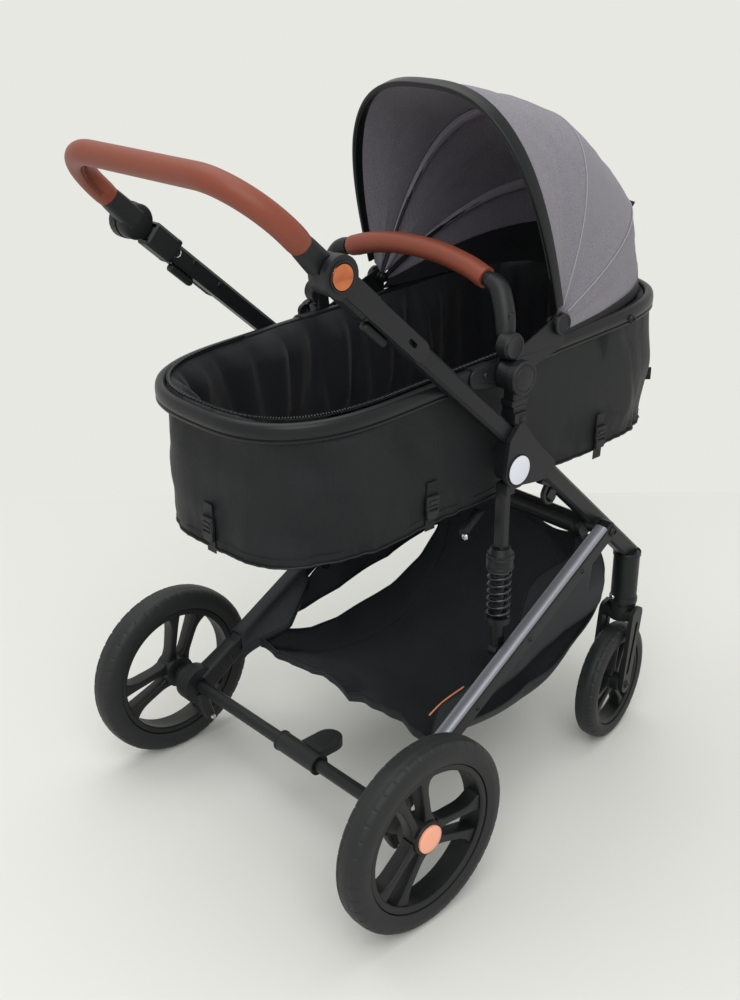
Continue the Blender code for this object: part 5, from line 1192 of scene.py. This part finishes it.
for sign in (-1, 1):
    base = len(sling.verts)
    sling.verts += [side_point(sign, q) for q in points]
    sling.faces += [tuple(base + i for i in t) for t in kept]
sling = cloth(sling, "basket_cloth", basket_nylon_painted_light, "rear_frame", 0.72, "hung",
              ["lower_rail_right", "lower_rail_left", "front_crossbar"], slot="black_fabric", replaces=("basket",))
thicken(sling, 0.0012, 0)
hems = Shape()
for sign in (-1, 1):
    hems.sweep([side_point(sign, q) for q in hole_line], circle(0.0016, 8), closed=True)
    side_line = [Vector((sign * basket_half_width(p.y, p.z), p.y, p.z)) for p in profile]
    hems.sweep(side_line, circle(0.0014, 8))
    slope = spaced([(-0.060, 0.229), BASKET_BACK], 0.01)
    slope = [Vector((sign * basket_half_width(q.x, q.y, rise_above_floor(q)), q.x, q.y)) for q in slope]
    hems.sweep(slope, circle(0.0018, 8))
elastic = [q + Vector((0, -0.003, 0.015 + 0.0008 * math.sin(k * 2.2))) for k, q in enumerate(rows[0])]
hems.sweep(elastic, circle(0.0024, 8))
hems.made("basket_hems", black_cloth, "rear_frame")
FLAP = ((0.2022, 0.004), (0.196, 0.001), (0.186, -0.004), (0.175, -0.007), (0.163, -0.009), (0.159, -0.013))
FLAP += ((0.161, -0.020), (0.170, -0.026))
OVER_RAIL = ((0.2270, 0.0100), (0.2262, 0.0158), (0.2240, 0.0172), (0.2050, 0.0172), (0.2028, 0.0150))
OVER_RAIL += ((0.2024, 0.0100),)
FLAP_TOP = 0.2032
flaps, flap_seams = Shape(), Shape()
for sign in (-1, 1):
    for first, last in ((-0.136 if sign > 0 else -0.160, -0.022), (0.028, 0.185)):
        count = round((last - first) / 0.008)
        rows = []
        for k in range(count + 1):
            y = first + (last - first) * k / count
            taper = min(0.12 + 14 * max(0.0, y + 0.150), 0.15 + 14 * (0.185 - y), 0.1 + 12 * (abs(y - 0.003) - 0.024))
            taper = min(1.0, taper)
            row = []
            for x, z in (OVER_RAIL if sign < 0 else ()) + FLAP:
                if x > 0.2020:
                    row.append(Vector((sign * (x - 0.018 * y), y, rail_z(y) + z)))
                    continue
                slack = 0.003 * ripple(y * 24, x * 40, sign) * (FLAP_TOP - x) / 0.04
                across = FLAP_TOP - (FLAP_TOP - x) * taper - 0.018 * y
                row.append(Vector((sign * across, y, rail_z(y) + z + slack)))
            rows.append(row)
        flaps.grid(rows)
        flap_seams.sweep([row[-4] for row in rows], circle(0.0011, 6))
flaps = cloth(flaps, "basket_flaps", basket_nylon_painted_light, "rear_frame", 1.08, "hung",
              ["lower_rail_right", "lower_rail_left"])
thicken(flaps, 0.001, 0)
flap_seams.made("basket_flap_seams", plastic, "rear_frame")
line = ((0.165, -0.109, 0.2055), (0.1655, -0.093, 0.2130), (0.166, -0.075, 0.2185), (0.168, -0.041, 0.2250))
Shape().sweep(smooth_route(line), circle(0.0012, 8)).made("basket_piping", orange, "rear_frame")


# Small fittings
for sign, side in SIDES:
    fittings = Shape()
    for y in (0.150, 0.035, -0.075, -0.135):
        screw(fittings, outwards(sign, rail_x(y) + 0.0109, y, rail_z(y) - 0.002), 0.0036)
    fittings.made("rail_screws_" + side, satin, "rear_frame")
    plug = Shape()
    screw(plug, outwards(sign, rail_x(0.2185) + 0.0120, 0.2185, rail_z(0.2185)), 0.0072)
    plug.made("rail_pin_heads_" + side, plastic, "chassis")
    marks = Shape()
    place = outwards(sign, 0.2060, 0.018, 0.6335)
    for y, z, d, h in ((-0.0035, 0, 0.0016, 0.0090), (0, 0.0037, 0.0085, 0.0016), (0, -0.0037, 0.0085, 0.0016)):
        marks.block(place @ at(0.0002, y, z), (0.0008, d, h), 0.0003)
    marks.made("release_marks_" + side, satin, "release_button_" + side)
    collar = ((-0.001, 0.0), (-0.001, 0.0212), (0.0, 0.0222), (0.006, 0.0222), (0.007, 0.0212))
    place = at(sign * CASTER_X, CASTER_Y, 0.317, (-90, "Y"))
    turned("barrel_top_" + side, collar, 40, place, paint, "chassis")
    line = ((-0.240, 0.128), (-0.236, 0.105), (-0.230, 0.088), (-0.2240, 0.0745))
    line = [Vector((sign * 0.2160, y, z)) for y, z in line]
    lug = Shape().sweep(line, oblong(0.020, 0.021, 0.006), scales=(1.25, 1.05, 0.95, 0.82), start=X)
    line = [Vector((sign * rail_x(y), y, rail_z(y) - 0.001)) for y in (-0.230, -0.214, -0.196, -0.178, -0.166)]
    lug.sweep(line, oblong(0.0262, 0.0305, 0.005), scales=(1.16, 1.12, 1.06, 1.02, 1.0), start=X)
    for y in (-0.182, -0.205):
        screw(lug, inwards(sign, rail_x(y) - 0.0134, y, rail_z(y) - 0.001), 0.0034)
    lug.made("bracket_cover_" + side, plastic, "rear_frame")
    pin = ((-0.011, 0.0), (-0.011, 0.0034), (-0.010, 0.0040), (0.010, 0.0040), (0.011, 0.0034), (0.011, 0.0))
    turned("bracket_pin_" + side, pin, 20, at(sign * 0.2140, -0.2236, 0.0752), steel, "rear_frame")
    line = ((0.096, 0.520), (0.094, 0.510), (0.088, 0.497), (0.092, 0.486), (0.102, 0.481), (0.110, 0.486))
    line = smooth_route([(sign * 0.190, y, z) for y, z in line + ((0.112, 0.491),)], 5)
    hook = Shape().sweep(line, oblong(0.0075, 0.0052, 0.0018, 3), start=X)
    line = ((0.078, 0.5215), (0.098, 0.512), (0.120, 0.5025), (0.142, 0.495))
    hook.sweep([(sign * 0.190, y, z) for y, z in line], oblong(0.010, 0.0075, 0.002, 3), start=X)
    hook.made("leg_hook_" + side, plastic, "chassis")

# A light grey strip along the near rail's top: a painted highlight where that top catches the light.
line = [Vector((rail_x(y), y, rail_z(y) + 0.0146)) for y in (0.205, 0.15, 0.08, 0.01, -0.06, -0.12, -0.162)]
arch = [math.pi * k / 12 for k in range(13)]
crown = [(0.0105 * math.cos(turn), 0.0005 + 0.0058 * math.sin(turn) ** 0.8) for turn in arch]
Shape().sweep(line, crown, start=X).made("rail_top_highlight_right", rail_highlight_grey, "rear_frame")

ribs = Shape()
for k in range(7):
    ribs.block(at(0.046, -0.219 + 0.0052 * k, 0.1508), (0.030 - 0.0008 * k * k, 0.0016, 0.0014), 0.0005)
for x in (-0.0052, 0.0762):
    ribs.lathe(((-0.0022, 0.0146), (-0.0012, 0.0160), (0.0012, 0.0160), (0.0022, 0.0146)), 40, at(x, REAR.y, REAR.z))
ribs.made("pedal_ribs", plastic, "brake")
tube = Shape()
for y, z in circle(0.0161, 8):
    line = [Vector((x, CROSSBAR_Y + y, CROSSBAR_Z + z)) for x in (-0.155, 0.0, 0.155)]
    tube.sweep(line, circle(0.0007, 6))
for x in (-0.157, 0.157):
    ring = ((-0.004, 0.0158), (-0.003, 0.0176), (0.003, 0.0176), (0.004, 0.0158))
    tube.lathe(ring, 48, at(x, CROSSBAR_Y, CROSSBAR_Z))
tube.made("crossbar_ribs", plastic, "chassis")

rows = []
for k in range(15):
    share = k / 14
    y, z = -0.012 - 0.030 * math.sin(share * 2.4), 0.496 - 0.040 * share
    half = 0.0080 if k < 12 else 0.0080 * (15 - k) / 4
    x = 0.1600 + 0.002 * math.sin(k * 0.4)
    rows.append([Vector((x - half, y, z)), Vector((x + half, y + 0.002, z))])
thicken(Shape().grid(rows).made("snap_strap", black_cloth, "carrycot"), 0.0016)
snap = Shape()
screw(snap, at(0.1620, rows[11][0].y - 0.001, rows[11][0].z, (-90, "Z")), 0.0046)
snap.made("strap_snap", steel, "carrycot")
spot = HANDLE_FOOT + HANDLE_UP * 0.372
loop = [Vector((-0.1800, spot.y + y, spot.z + z)) for y, z in circle(0.006, 24)]
Shape().sweep(loop, circle(0.0010, 6), closed=True).made("frame_ring", steel, "handle_frame")


# Floor, backdrop, light and camera
yaw, pitch, roll = math.radians(47.16), math.radians(24.25), math.radians(-0.26)
level_right = Vector((math.cos(yaw), math.sin(yaw), 0))
level_ahead = Vector((-math.sin(yaw), math.cos(yaw), 0))
FLOOR_AHEAD, FLOOR_BACK, FLOOR_SIDE = 1.045, 4.0, 5.0
corners = []
for side, depth in ((-1, -FLOOR_BACK), (1, -FLOOR_BACK), (1, FLOOR_AHEAD), (-1, FLOOR_AHEAD)):
    spot = level_right * (side * FLOOR_SIDE) + level_ahead * depth
    corners.append((spot.x, spot.y, 0))
mesh = bpy.data.meshes.new("floor")
mesh.from_pydata(corners, [], [tuple(range(len(corners)))])
paper = {"Base Color": linear((222, 222, 219)), "Roughness": 0.9, "Specular IOR Level": 0.1}
mesh.materials.append(plain("floor_paper", paper))
floor = bpy.data.objects.new("floor", mesh)
bpy.context.scene.collection.objects.link(floor)

WORLD_LIGHT = 0.79  # the world's strength on the object; the camera sees it at 1
world = bpy.data.worlds.new("studio")
bpy.context.scene.world = world
world.use_nodes = True
tree = world.node_tree
back = tree.nodes["Background"]
rays = add(tree, "LightPath").outputs
seen = add(tree, "Math", None, {0: rays["Is Camera Ray"], 1: rays["Is Transmission Ray"]}, operation="MAXIMUM")
shown = add(tree, "Math", None, {0: seen.outputs[0], 1: rays["Is Glossy Ray"]}, operation="MAXIMUM")
level = add(tree, "MapRange", {"To Min": WORLD_LIGHT, "To Max": 1.0}, {"Value": shown.outputs[0]})
link(tree, level.outputs["Result"], back.inputs["Strength"])
back.inputs["Color"].default_value = linear((232, 232, 227))


def lamp(name, place, aim, size, power):
    """A square lamp of this size that shines towards aim."""
    light = bpy.data.lights.new(name, "AREA")
    light.shape = "RECTANGLE"
    light.size = light.size_y = size
    light.energy = power
    obj = bpy.data.objects.new(name, light)
    bpy.context.scene.collection.objects.link(obj)
    obj.location = place
    obj.rotation_euler = (Vector(aim) - Vector(place)).to_track_quat("-Z", "Y").to_euler()


lamp("key", (-1.0, 0.0, 5.0), (-0.1, 0, 0), 4.6, 106)
lamp("right", (2.2, -1.9, 3.3), (0.2, 0, 0.2), 3.0, 76)

ahead = Vector((-math.sin(yaw) * math.cos(pitch), math.cos(yaw) * math.cos(pitch), -math.sin(pitch)))
level_up = level_right.cross(ahead)
right = level_right * math.cos(roll) + level_up * math.sin(roll)
up = level_up * math.cos(roll) - level_right * math.sin(roll)
camera = bpy.data.objects.new("photo_camera", bpy.data.cameras.new("photo_camera"))
bpy.context.scene.collection.objects.link(camera)
CAMERA = (1.2178, -1.1983, 1.2239)
FOCAL, PHOTO_HEIGHT = 1261.97, 1000  # pixels
camera.matrix_world = Matrix([(right[i], up[i], -ahead[i], CAMERA[i]) for i in range(3)] + [(0, 0, 0, 1)])
camera.data.sensor_width = 36
camera.data.lens = 36 * FOCAL / PHOTO_HEIGHT
camera.data.clip_start = 0.05
camera.data.clip_end = 60
bpy.context.scene.camera = camera
bpy.context.scene.view_settings.view_transform = "Standard"
